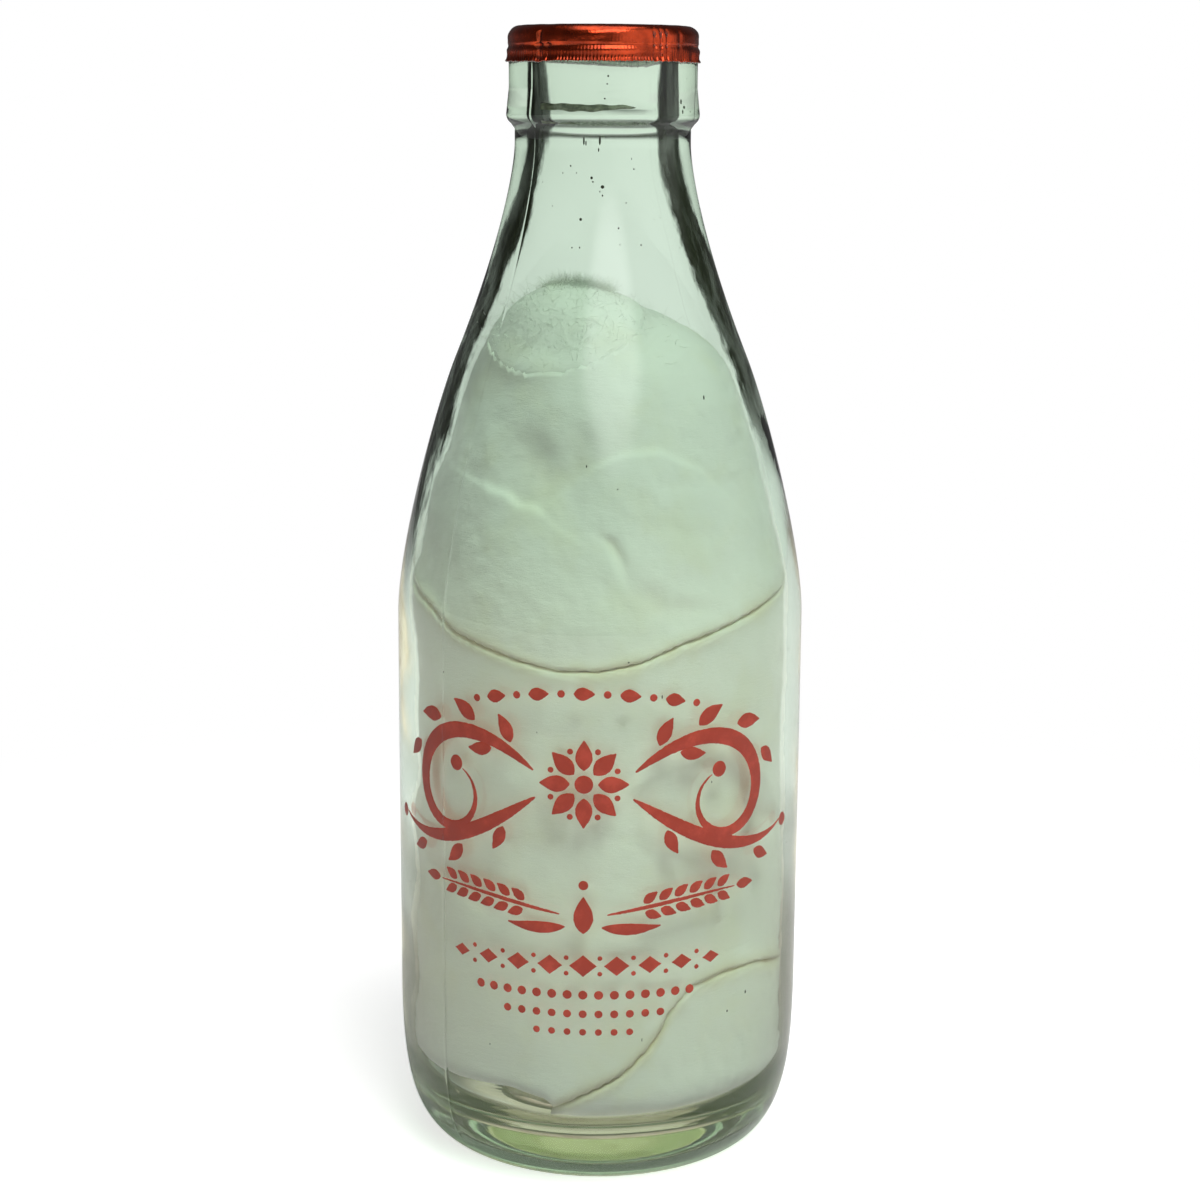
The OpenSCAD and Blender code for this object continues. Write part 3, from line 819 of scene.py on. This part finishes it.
# Seams and folds in the wadding: turn from the front in degrees, height in mm
BELLY_RIM = [
    (-180, 122), (-150, 120), (-100, 116), (-75, 112.5), (-58, 109.5), (-46, 106.1), (-34, 104.2),
    (-24, 102.6), (-12, 101.2), (0, 101.2), (12, 102.7), (24, 105.6), (38, 107.8), (54, 110.3),
    (71, 112.6), (100, 116), (150, 121),
]
HEEL_RIM = [
    (-170, 2), (-24, 2), (-17, 12), (-14.5, 16.5), (-5, 20.1), (7, 24.2), (16, 29.7), (22, 36.1),
    (28.6, 40.4), (40, 42), (54, 41.7), (80, 38), (110, 30), (140, 16), (155, 4),
]
FOOT_RIM = [
    (-180, 23), (-110, 20), (-72, 18.5), (-60, 18.2), (-46, 18.6), (-28, 19.2), (-16, 18), (-8, 12),
    (10, 10), (120, 13), (160, 21),
]
LEDGE = [(-44, 133.2), (-38, 132.4), (-33, 132.0), (-28, 130.2), (-23, 130.4), (-17, 128.2)]
BROW = [(-8, 134.5), (-3.7, 137.1), (6.7, 139.5), (21, 140), (36, 136.3), (48, 130)]
FOLDS = [
    # [name, depth mm, width mm, one-sided, points]
    ("ledge", 1.2, 5.5, True, LEDGE),
    ("lobe_foot", 0.8, 3.0, False, [(-9, 146), (-7, 141), (-9, 137), (-12, 133.5)]),
    ("dimple", 0.9, 1.0, False, [(0.5, 125.4), (3.6, 124), (6, 121.7), (7.6, 118.4)]),
    ("brow", 0.6, 7.0, True, BROW),
    ("hollow", 1.6, 5.5, False, [(-34, 143), (-26, 139), (-18, 136), (-12, 132.5)]),
    ("under", 0.5, 2.2, False, [(9, 117), (20, 112), (34, 111.5)]),
    ("back_a", 1.2, 2.4, False, [(100, 150), (125, 138), (150, 131), (185, 128), (215, 133)]),
    ("back_b", 1.0, 2.0, False, [(160, 158), (150, 146), (158, 134)]),
    ("back_c", 1.2, 2.6, False, [(80, 88), (115, 80), (150, 83), (190, 76), (230, 79)]),
    ("low_left", 0.8, 2.2, False, [(-75, 62), (-54, 59.2), (-42, 57.1), (-33, 54)]),
    ("low_right", 0.6, 2.4, False, [(44, 78), (56, 70), (74, 66)]),
]


def fold_depth(p, points, one_sided, width):
    """How strongly a fold marks each point, 0 to 1, by distance along the wall to its line."""
    turn = turn_of(p)
    middle = points[len(points) // 2][0]
    turn = (turn - middle + 180) % 360 - 180 + middle
    scale = np.radians(1) * np.clip(np.hypot(p[:, 0], p[:, 1]), 12 * MM, 40 * MM) / MM
    best = np.full(len(p), 1e9)
    side = np.zeros(len(p))
    ends = np.ones(len(p))
    n = len(points) - 1
    for i in range(n):
        (a0, z0), (a1, z1) = points[i], points[i + 1]
        ex, ez = (a1 - a0) * scale, z1 - z0
        px, pz = (turn - a0) * scale, p[:, 2] / MM - z0
        t = np.clip((px * ex + pz * ez) / (ex**2 + ez**2), 0, 1)
        d = np.hypot(px - t * ex, pz - t * ez)
        closer = d < best
        best = np.where(closer, d, best)
        side = np.where(closer, np.sign(ex * pz - ez * px), side)
        along = (i + t) / n
        ends = np.where(closer, np.sin(np.pi * np.clip(along, 0.03, 0.97)) ** 0.5, ends)
    if one_sided:
        above = np.exp(-best / width) * smoothstep(best * side, -0.6, 0.9)
        return above * ends
    return np.exp(-((best / width) ** 2)) * ends


def grow_wad(name, centre, field, material, level):
    """A closed lump: each direction from the centre runs out to where the field turns positive."""
    reach, strides, halvings = 110 * MM, 110, 14
    bpy.ops.mesh.primitive_ico_sphere_add(subdivisions=level, radius=1.0)
    obj = bpy.context.object
    obj.name = obj.data.name = name
    mesh = obj.data
    co = np.zeros(len(mesh.vertices) * 3)
    mesh.vertices.foreach_get("co", co)
    way = co.reshape(-1, 3)
    way /= np.linalg.norm(way, axis=1, keepdims=True)
    centre = np.array(centre)
    lo, hi = np.zeros(len(way)), np.full(len(way), reach)
    found = np.zeros(len(way), bool)
    for s in np.linspace(1 * MM, reach, strides):
        out = (field(centre + way * s) > 0) & ~found
        hi[out] = s
        found |= out
        lo[~found] = s
    for _ in range(halvings):
        mid = (lo + hi) / 2
        out = field(centre + way * mid[:, None]) > 0
        hi = np.where(out, mid, hi)
        lo = np.where(out, lo, mid)
    mesh.vertices.foreach_set("co", (centre + way * lo[:, None]).ravel())
    mesh.polygons.foreach_set("use_smooth", [True] * len(mesh.polygons))
    mesh.materials.append(material)
    mesh.update()
    return obj


def cloud(p, scale, seed, octaves=3):
    """Fractal noise at each point, about -1 to 1."""
    off = Vector((seed * 7.3, seed * 3.1, seed * 1.7))
    return np.array([noise.fractal(Vector(q) * scale + off, 1.0, 2.1, octaves) for q in p])


def puff(obj, amount, scale, seed, seams, nest):
    """Pushes a lump's surface in by soft folds, never out through the glass, and marks its creases and seams
    for painted shade.
    """
    mesh = obj.data
    n = len(mesh.vertices)
    co, no = np.zeros(n * 3), np.zeros(n * 3)
    mesh.vertices.foreach_get("co", co)
    mesh.vertices.foreach_get("normal", no)
    p, nrm = co.reshape(-1, 3), no.reshape(-1, 3)
    push = amount * np.clip(0.4 + 0.55 * cloud(p, scale, seed), 0, 1.4)
    push += 0.10 * MM * (1 + cloud(p, scale * 9, seed + 5, 4))
    crease = np.zeros(n)
    for _, depth, width, one_sided, points in FOLDS:
        mark = fold_depth(p, points, one_sided, width)
        push += depth * MM * mark
        crease = np.maximum(crease, mark * (0.15 if one_sided else 0.3))
    for seam in seams:
        near = np.exp(-((np.abs(p[:, 2] - seam(p)) / (1.9 * MM)) ** 2))
        crease = np.maximum(crease, near)
        push *= 1 - 0.8 * near
    if nest:
        push *= 1 - np.exp(-((nest(p) / (2.2 * MM)) ** 2))
    mesh.vertices.foreach_set("co", (p - nrm * push[:, None]).ravel())
    # This mark feeds the cotton's painted crease shade
    layer = mesh.attributes.new("crease", "FLOAT", "POINT")
    layer.data.foreach_set("value", crease)
    mesh.update()


def build_wads(g, wads, material):
    """Four wads that share the cavity: a tuft, a large upper and lower wad and a small one in the heel."""
    cavity = cavity_gap(g, 0.30 * MM)
    belly = sheet_height(BELLY_RIM, 103)
    heel = sheet_height(HEEL_RIM, 20)
    foot = sheet_height(FOOT_RIM, 12)
    tuft_at = np.array([-5.8, -10.6, wads.pile_z / MM - 12.9]) * MM
    tuft = ball(tuft_at, np.array([12.4, 10.6, 12.9]) * MM, math.radians(15))
    dome_at = np.array([-0.8, 0, wads.pile_z / MM - 35.6]) * MM
    middle = np.array([0, 2, 118]) * MM
    deep = np.linalg.norm(tuft_at - middle)
    axis = (tuft_at - middle) / deep
    half = math.atan2(11.8 * MM, deep)
    space = 0.05 * MM

    def dome(p):
        q = p - dome_at
        reach = np.hypot(np.hypot(q[:, 0], q[:, 1]) * 0.95, np.maximum(q[:, 2], 0))
        return reach - 32 * MM - 0.8 * np.maximum(-q[:, 2], 0)

    def skin(p):
        return -soft_max(-dome(p), -tuft(p), 7 * MM)

    def nest(p):
        """Distance outside the tuft's socket in the upper wad, a cone with its tip at that wad's middle."""
        q = p - middle
        along = q @ axis
        across = np.linalg.norm(q - along[:, None] * axis, axis=1)
        return np.maximum(across * math.cos(half) - along * math.sin(half), deep - 10 * MM - along)

    def upper_field(p):
        f = soft_max(cavity(p), (belly(p) + space - p[:, 2]) * 0.9, 0.7 * MM)
        f = soft_max(f, skin(p), 2.5 * MM)
        return soft_max(f, space - nest(p), 0.25 * MM)

    def lower_field(p):
        f = soft_max(cavity(p), (p[:, 2] - belly(p) + space) * 0.9, 0.2 * MM)
        f = soft_max(f, (foot(p) - p[:, 2]) * 0.9, 3 * MM)
        return soft_max(f, (heel(p) + space - p[:, 2]) * 0.7, 0.2 * MM)

    def heel_field(p):
        return soft_max(cavity(p), (p[:, 2] - heel(p) + space) * 0.7, 0.4 * MM)

    def tuft_field(p):
        return soft_max(soft_max(cavity(p), skin(p) - 0.05 * MM, 2.5 * MM), nest(p) - 1.3 * MM, 0.9 * MM)

    lower_at, heel_at = np.array([-2, 3, 64]) * MM, np.array([14, -9, 16]) * MM
    plan = [
        # [name, growing point, field, fineness, depth of soft folds in mm, scale, seed, seams, nest]
        ("cotton_tuft", tuft_at, tuft_field, 7, 0.5, 70, 2, [], nest),
        ("cotton_upper", middle, upper_field, 7, 1.3, 44, 4, [belly], nest),
        ("cotton_lower", lower_at, lower_field, 7, 0.9, 36, 6, [belly, heel], None),
        ("cotton_heel", heel_at, heel_field, 6, 0.7, 60, 8, [heel], None),
    ]
    made = []
    for name, at, field, level, amount, scale, seed, seams, kept in plan:
        obj = grow_wad(name, at, field, material, level)
        puff(obj, amount * MM, scale, seed, seams, kept)
        made.append(obj)
    return made


def build_strands(wads, tops, material):
    """Fine loose fibres standing off the pile's top, thickest in a wisp behind the tuft."""
    rng = random.Random(77)
    verts, faces = [], []
    wisp = Vector((-4.5, -6.0, wads.pile_z / MM - 2)) * MM
    spots, wispy = [], []
    for obj in tops:
        for v in obj.data.vertices:
            if v.co.z > wads.pile_z - 15 * MM and v.normal.z > 0.1:
                spots.append((v.co.copy(), v.normal.copy()))
                if (v.co - wisp).length < 6.5 * MM:
                    wispy.append(spots[-1])
    for i in range(wads.strands):
        at, up = rng.choice(wispy if i % 5 < 3 else spots)
        drift = Vector((rng.gauss(0.3, 1), rng.gauss(0, 1), rng.gauss(0.1, 0.5)))
        heading = (up * 0.6 + drift * 0.8).normalized()
        bend = Vector((rng.gauss(0, 1), rng.gauss(0, 1), rng.gauss(0, 1))).normalized()
        bend = bend * rng.uniform(0.1, 0.55)
        span, r = rng.uniform(1.0, 3.6) * MM, rng.uniform(0.022, 0.042) * MM
        steps = 6
        p = at - up * 0.2 * MM
        rings = []
        for s in range(steps + 1):
            side = heading.orthogonal().normalized()
            other = heading.cross(side)
            rings.append(len(verts))
            for k in range(3):
                t = k * 2 * math.pi / 3
                out = side * math.cos(t) + other * math.sin(t)
                verts.append(tuple(p + out * r * (1 - 0.6 * s / steps)))
            heading = (heading + bend).normalized()
            if heading.dot(up) < -0.15:
                heading = (heading + up * 0.5).normalized()
            p = p + heading * span / steps
        for s in range(steps):
            a, b = rings[s], rings[s + 1]
            for k in range(3):
                faces.append((a + k, a + (k + 1) % 3, b + (k + 1) % 3, b + k))
        faces.append((rings[0] + 2, rings[0] + 1, rings[0]))
        faces.append((rings[-1], rings[-1] + 1, rings[-1] + 2))
    return new_object("cotton_fibres", verts, faces, material)


# ---------------------------------------------------------------- print


def curl(start, heading, length_mm, bend0, bend1, n):
    """A stroke's path in millimetres round the body and up it: [across, up, heading] at each station."""
    out, (x, y), h = [], start, heading
    for i in range(n + 1):
        out.append((x, y, h))
        x += length_mm / n * math.cos(math.radians(h))
        y += length_mm / n * math.sin(math.radians(h))
        h += length_mm / n * (bend0 + (bend1 - bend0) * i / n)
    return out


def swell(t, full, lead):
    """Half a stroke's width at the share t of its length."""
    return 0.12 + full * math.sin(math.pi * t**lead)


class Sheet:
    """Collects the corners and faces of one motif's ink, wrapped round the body."""

    def __init__(self, settings, seed):
        self.settings = settings
        self.rng = random.Random(seed)
        self.verts, self.faces = [], []
        self.flip = 1

    def wrap(self, x, y, r):
        a = self.flip * x * MM / BODY_R + self.settings.turn
        return (r * math.sin(a), -r * math.cos(a), y * MM)

    def band(self, left, right, closed=False):
        """Skin between two edges of equal length, with a raised middle and thin sides."""
        low, high = BODY_R + 0.015 * MM, BODY_R + self.settings.ink_t
        n = len(left)
        base = len(self.verts)
        for (lx, ly), (rx, ry) in zip(left, right):
            inset = 0.12
            self.verts += [
                self.wrap(rx, ry, low),
                self.wrap(rx + (lx - rx) * inset, ry + (ly - ry) * inset, high),
                self.wrap(lx + (rx - lx) * inset, ly + (ry - ly) * inset, high),
                self.wrap(lx, ly, low),
            ]
        for i in range(n - 1):
            for k in range(4):
                a, b = base + 4 * i + k, base + 4 * i + (k + 1) % 4
                f = (a, a + 4, b + 4, b)
                self.faces.append(f if self.flip > 0 else f[::-1])
        first = (base, base + 1, base + 2, base + 3)
        last = tuple(base + 4 * (n - 1) + k for k in (3, 2, 1, 0))
        self.faces += [first, last] if self.flip > 0 else [first[::-1], last[::-1]]

    def ragged(self, amount=0.025):
        return self.rng.gauss(0, amount)

    def stroke(self, path, full, lead=0.8):
        n = len(path) - 1
        left, right = [], []
        for i, (x, y, h) in enumerate(path):
            w = swell(i / n, full, lead)
            nx, ny = -math.sin(math.radians(h)), math.cos(math.radians(h))
            wl, wr = w + self.ragged(), w + self.ragged()
            left.append((x + wl * nx, y + wl * ny))
            right.append((x - wr * nx, y - wr * ny))
        self.band(left, right)

    def leaf(self, at, heading, length_mm, width, bend=0):
        self.stroke(curl(at, heading, length_mm, bend, bend, 14), width / 2)

    def spot(self, at, r):
        n = 12
        left, right = [], []
        for i in range(n + 1):
            t = math.pi * (0.04 + 0.92 * i / n)
            x = at[0] - r * math.cos(t)
            w = r * math.sin(t) + self.ragged(0.012)
            left.append((x, at[1] + w))
            right.append((x, at[1] - w))
        self.band(left, right)

    def lozenge(self, at, length_mm, height):
        n = 8
        left, right = [], []
        for i in range(n + 1):
            t = i / n
            w = max(0.05, height / 2 * (1 - abs(2 * t - 1))) + self.ragged(0.015)
            x = at[0] + (t - 0.5) * length_mm
            left.append((x, at[1] + w))
            right.append((x, at[1] - w))
        self.band(left, right)

    def beside(self, path, i, side, full, lead):
        x, y, h = path[i]
        off = side * (swell(i / (len(path) - 1), full, lead) + 0.5)
        return (x - off * math.sin(math.radians(h)), y + off * math.cos(math.radians(h)))

    def branch(self, path, fine, full, lead, leaves, berry_r):
        self.stroke(fine, full, lead)
        for station, side, angle, length_mm, width in leaves:
            at = self.beside(path, station, side, full, lead)
            self.leaf(at, path[station][2] + side * angle, length_mm, width, -3 * side)
        x, y, h = path[-1]
        reach = berry_r + 0.45
        self.spot((x + reach * math.cos(math.radians(h)), y + reach * math.sin(math.radians(h))), berry_r)

    def finish(self, name, material):
        return new_object(name, self.verts, self.faces, material, smooth=False)


ROSETTE_Z = 81.0
# Leaves of the scrolls: [station, side, angle, length, width], in degrees and mm
UPPER_LEAVES = [
    (4, 1, 44, 5.6, 2.5), (9, 1, 36, 6, 2.7), (6, -1, 34, 5.2, 2.3), (14, 1, 32, 6, 2.6), (19, 1, 30, 5, 2.4),
]
LOWER_LEAVES = [(6, -1, 40, 5, 2.3), (13, -1, 34, 5.2, 2.4), (20, -1, 30, 4.6, 2.1)]


def draw_scroll(sheet, flip):
    sheet.flip = flip
    upper = ((9.4, ROSETTE_Z + 2.2), 38, 62, -1.4, -10.7)
    lower = ((9, ROSETTE_Z - 2.8), -34, 38, 0, 3.2)
    sheet.branch(curl(*upper, 40), curl(*upper, 160), 1.45, 0.72, UPPER_LEAVES, 1.5)
    sheet.branch(curl(*lower, 26), curl(*lower, 104), 1.3, 0.8, LOWER_LEAVES, 1.3)


def draw_rosette(sheet):
    sheet.spot((0, ROSETTE_Z), 1.7)
    for i in range(8):
        a, b = math.radians(i * 45), math.radians(i * 45 + 22.5)
        sheet.leaf((2.6 * math.cos(a), ROSETTE_Z + 2.6 * math.sin(a)), i * 45, 5.6, 2.9)
        sheet.spot((6.6 * math.cos(b), ROSETTE_Z + 6.6 * math.sin(b)), 0.55)


def draw_arch(sheet):
    half, rise, foot = 21.0, 2.4, 95.4
    for i in range(-5, 6):
        s = i * half / 5
        z = foot + rise * (1 - (s / half) ** 2)
        slope = math.atan(-2 * rise * s / half**2)
        if i % 2 == 0:
            sheet.leaf((s - 1.9 * math.cos(slope), z - 1.9 * math.sin(slope)), math.degrees(slope), 3.8, 2.2)
        else:
            sheet.spot((s, z), 0.7)


def draw_wheat(sheet):
    z = 58.4
    for flip in (1, -1):
        sheet.flip = flip
        stalk = curl((4.4, z - 2), 10, 26, 0, -0.9, 26)
        sheet.stroke(curl((4.4, z - 2), 10, 26, 0, -0.9, 78), 0.26, 0.7)
        for i in range(6):
            for side in (-1, 1):
                at = sheet.beside(stalk, 7 + 3 * i, side, 0.26, 0.7)
                sheet.leaf(at, stalk[7 + 3 * i][2] + 32 * side, 3.2, 1.6, -2 * side)
        x, y, h = stalk[-1]
        sheet.leaf((x + 0.6, y), h, 4.2, 1.8)
        sheet.leaf((3.4, z - 4.4), -8, 11, 2, 1.6)
    sheet.flip = 1
    sheet.leaf((0, z - 5.6), 90, 7, 3.4)
    sheet.spot((0, z + 3.6), 0.9)


def draw_lozenges(sheet):
    for i in range(-4, 5):
        sheet.lozenge((i * 6.2, 46.6), 5 - 0.35 * abs(i), 4.2 - 0.45 * abs(i))
    for i in range(-4, 4):
        for side in (-1, 1):
            sheet.spot(((i + 0.5) * 6.2, 46.6 + 1.5 * side), 0.45)


def draw_dots(sheet):
    for drop, count, r in ((0, 7, 0.85), (3.7, 5, 0.75), (7.2, 3, 0.65)):
        for i in range(-count, count + 1):
            sheet.spot((i * 2.9, 41.0 - drop), r)


MOTIFS = [
    ("print_arch", draw_arch),
    ("print_scroll_left", lambda sheet: draw_scroll(sheet, -1)),
    ("print_scroll_right", lambda sheet: draw_scroll(sheet, 1)),
    ("print_rosette", draw_rosette),
    ("print_wheat", draw_wheat),
    ("print_lozenges", draw_lozenges),
    ("print_dots", draw_dots),
]


# ---------------------------------------------------------------- operators


class BOTTLE_OT_glass(Operator):
    """Build the wavy green glass with its mould seams"""

    bl_idname = "bottle.glass"
    bl_label = "Build glass"

    def execute(self, context):
        g = context.scene.bottle_glass
        obj = build_glass(g, glass_material(g))
        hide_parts("glass_bottle")
        seeds = build_seeds(g, speck_material("seed_specks", SPECK_TONE))
        stain = build_stain(speck_material("milk_stone", STAIN_TONE))
        for made in (obj, seeds, stain):
            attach(made, "bottle")
        return {"FINISHED"}


class BOTTLE_OT_cap(Operator):
    """Build the crimped foil cap"""

    bl_idname = "bottle.cap"
    bl_label = "Build foil cap"

    def execute(self, context):
        cap = context.scene.bottle_cap
        obj = build_cap(context.scene.bottle_glass, cap, foil_material(cap))
        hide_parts("foil_cap")
        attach(obj, "cap")
        return {"FINISHED"}


class BOTTLE_OT_wadding(Operator):
    """Build the cotton wads and their loose fibres"""

    bl_idname = "bottle.wadding"
    bl_label = "Build wadding"

    def execute(self, context):
        wads = context.scene.bottle_wads
        material = cotton_material(wads)
        made = build_wads(context.scene.bottle_glass, wads, material)
        nodes = ("wad_tuft", "wad_upper", "wad_lower", "wad_heel")
        for obj, node in zip(made, nodes):
            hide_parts(node)
        fibres = build_strands(wads, made[:2], material)
        for obj in [*made, fibres]:
            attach(obj, "bottle")
        return {"FINISHED"}


class BOTTLE_OT_print(Operator):
    """Build the fired enamel ornament"""

    bl_idname = "bottle.print"
    bl_label = "Build print"

    def execute(self, context):
        settings = context.scene.bottle_print
        material = ink_material(settings)
        for seed, (node, draw) in enumerate(MOTIFS):
            sheet = Sheet(settings, seed)
            draw(sheet)
            obj = sheet.finish(node.replace("print_", "enamel_"), material)
            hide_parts(node)
            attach(obj, "bottle")
        return {"FINISHED"}


# ---------------------------------------------------------------- stage


CAMERA_AT = (0.0, -476.7 * MM, 202.6 * MM)
CAMERA_TILT = math.radians(11.31)
CAMERA_ROLL = math.radians(0.347)
FOCAL_PX = 2509.4
FRAME_PX = 1200.0


def sky():
    """White to the eye, pale green through glass, and to foil a dark room with soft lights in it."""
    world = bpy.data.worlds.new("studio")
    bpy.context.scene.world = world
    world.use_nodes = True
    n = Nodes(world.node_tree)
    way = n.add("ShaderNodeTexCoord").outputs["Generated"]
    right, _, up = n.parts(way)

    def soft_light(direction, low, high, strength):
        dot = n.vector("DOT_PRODUCT", way, Vector(direction).normalized())["Value"]
        return n.step(dot, low, high, 0.0, strength)

    def grey(value):
        return n.fill(n.add("ShaderNodeCombineColor"), (value, value, value))[0]

    shine = n.step(up, -0.6, 0.4, 0.16, 0.05)
    for direction, low, high, strength in (
        ((0.05, -0.10, 1), 0.86, 0.97, 1.2),
        ((0.85, -0.5, 0.15), 0.55, 0.95, 0.55),
        ((0.12, -0.72, 0.68), 0.91, 0.97, 2.6),
    ):
        shine = n.math("ADD", shine, soft_light(direction, low, high, strength))
    room = grey(n.step(up, -0.3, 0.9, 0.08, 0.26))
    clear = n.product(n.step(right, -0.75, 0.35, 0.74, 0.90), n.step(up, 0.12, 0.32, 1.0, 0.26))
    path = n.add("ShaderNodeLightPath").outputs
    scattered = n.math("GREATER_THAN", path["Diffuse Depth"], 0.5)
    through = n.mix(scattered, n.vector("MULTIPLY", grey(clear), (0.835, 1.0, 0.865))[0], room)
    light = n.mix(path["Is Glossy Ray"], room, grey(shine))
    light = n.mix(path["Is Transmission Ray"], light, through)
    light = n.mix(path["Is Camera Ray"], light, (1, 1, 1, 1))
    surround = n.shader("ShaderNodeBackground", Color=light, Strength=1.0)
    n.add("ShaderNodeOutputWorld", Surface=surround)


def floor():
    """A plain pale floor that keeps the shadow near the object and fades into the white behind it. Through
    the
    glass it shows painted light and shade: a pale glow under the foot, which also lights the base and the
    wadding, dark olive shade round it and pale green further off.
    """
    material, n = new_material("pale_floor")
    away = n.vector("LENGTH", n.coords())["Value"]
    fade = n.step(away, 100 * MM, 340 * MM)
    path = n.add("ShaderNodeLightPath").outputs
    seen = path["Is Camera Ray"]
    matt = n.shader("ShaderNodeBsdfDiffuse", Color=(0.85, 0.85, 0.85, 1))
    glow = n.shader("ShaderNodeEmission", Color=(1, 1, 1, 1), Strength=n.math("MULTIPLY", seen, 0.62))
    lit = n.fill(n.add("ShaderNodeAddShader"), (matt, glow))[0]
    # Painted light and shade for rays from the bottle: a pale glow under the foot, dark olive round it
    underfoot_glow = n.step(away, 24 * MM, 32 * MM, 1.0, 0.0)
    near = n.mix(underfoot_glow, (0.14, 0.15, 0.10, 1), (0.56, 0.58, 0.42, 1))
    white = n.shader("ShaderNodeEmission", Color=(1, 1, 1, 1), Strength=1.0)
    green = n.shader("ShaderNodeEmission", Color=n.mix(fade, near, (0.744, 0.86, 0.765, 1)), Strength=1.0)
    direct = n.math("LESS_THAN", path["Diffuse Depth"], 0.5)
    through = n.math("MULTIPLY", path["Is Transmission Ray"], direct)
    through = n.math("MAXIMUM", through, n.math("SUBTRACT", underfoot_glow, seen))
    plain = n.math("MAXIMUM", through, n.math("MULTIPLY", fade, seen))
    n.add("ShaderNodeOutputMaterial", Surface=n.blend(plain, lit, n.blend(through, white, green)))
    bpy.ops.mesh.primitive_circle_add(vertices=96, radius=1.6, fill_type="NGON", location=(0, 0, -0.2 * MM))
    obj = bpy.context.object
    obj.name = "studio_floor"
    obj.data.materials.append(material)


def lamp(name, at, target, size, power):
    data = bpy.data.lights.new(name, "AREA")
    data.shape = "RECTANGLE"
    data.size, data.size_y = size
    data.energy = power
    obj = bpy.data.objects.new(name, data)
    bpy.context.scene.collection.objects.link(obj)
    obj.location = at
    obj.rotation_euler = (Vector(target) - Vector(at)).to_track_quat("-Z", "Y").to_euler()
    obj.visible_glossy = False
    obj.visible_transmission = False
    return obj


class BOTTLE_OT_stage(Operator):
    """Set the camera, the lamps, the pale floor and the white surround"""

    bl_idname = "bottle.stage"
    bl_label = "Set stage"

    def execute(self, context):
        scene = context.scene
        scene.view_settings.view_transform = "Standard"
        data = bpy.data.cameras.new("camera")
        data.sensor_width = 36.0
        data.lens = 36.0 * FOCAL_PX / FRAME_PX
        data.clip_start, data.clip_end = 0.01, 20.0
        camera = bpy.data.objects.new("camera", data)
        scene.collection.objects.link(camera)
        camera.location = CAMERA_AT
        camera.rotation_mode = "ZYX"
        camera.rotation_euler = (math.pi / 2 - CAMERA_TILT, 0, CAMERA_ROLL)
        scene.camera = camera
        lamp("key", (0.22, -0.46, 1.02), (0, 0, 0.12), (0.45, 0.45), 10.0)
        lamp("low", (-0.10, -1.0, 0.07), (0, 0, 0.02), (0.6, 0.1), 0.35)
        sky()
        floor()
        return {"FINISHED"}


class BOTTLE_PT_panel(Panel):
    """Lists the sizes and the builders of the bottle"""

    bl_idname = "BOTTLE_PT_panel"
    bl_label = "Milk bottle"
    bl_space_type = "VIEW_3D"
    bl_region_type = "UI"
    bl_category = "Bottle"

    def draw(self, context):
        for title, group, operator in (
            ("Glass", context.scene.bottle_glass, "bottle.glass"),
            ("Foil cap", context.scene.bottle_cap, "bottle.cap"),
            ("Wadding", context.scene.bottle_wads, "bottle.wadding"),
            ("Print", context.scene.bottle_print, "bottle.print"),
        ):
            box = self.layout.box()
            box.label(text=title)
            for key in group.__annotations__:
                box.prop(group, key)
            box.operator(operator)
        self.layout.operator("bottle.stage")


CLASSES = (
    GlassSizes,
    CapSizes,
    WadSizes,
    PrintSizes,
    BOTTLE_OT_glass,
    BOTTLE_OT_cap,
    BOTTLE_OT_wadding,
    BOTTLE_OT_print,
    BOTTLE_OT_stage,
    BOTTLE_PT_panel,
)


def register():
    for cls in CLASSES:
        bpy.utils.register_class(cls)
    bpy.types.Scene.bottle_glass = PointerProperty(type=GlassSizes)
    bpy.types.Scene.bottle_cap = PointerProperty(type=CapSizes)
    bpy.types.Scene.bottle_wads = PointerProperty(type=WadSizes)
    bpy.types.Scene.bottle_print = PointerProperty(type=PrintSizes)


def unregister():
    for name in ("bottle_glass", "bottle_cap", "bottle_wads", "bottle_print"):
        delattr(bpy.types.Scene, name)
    for cls in reversed(CLASSES):
        bpy.utils.unregister_class(cls)


def main():
    register()
    bpy.ops.bottle.glass()
    bpy.ops.bottle.cap()
    bpy.ops.bottle.wadding()
    bpy.ops.bottle.print()
    bpy.ops.bottle.stage()


if __name__ == "__main__":
    main()
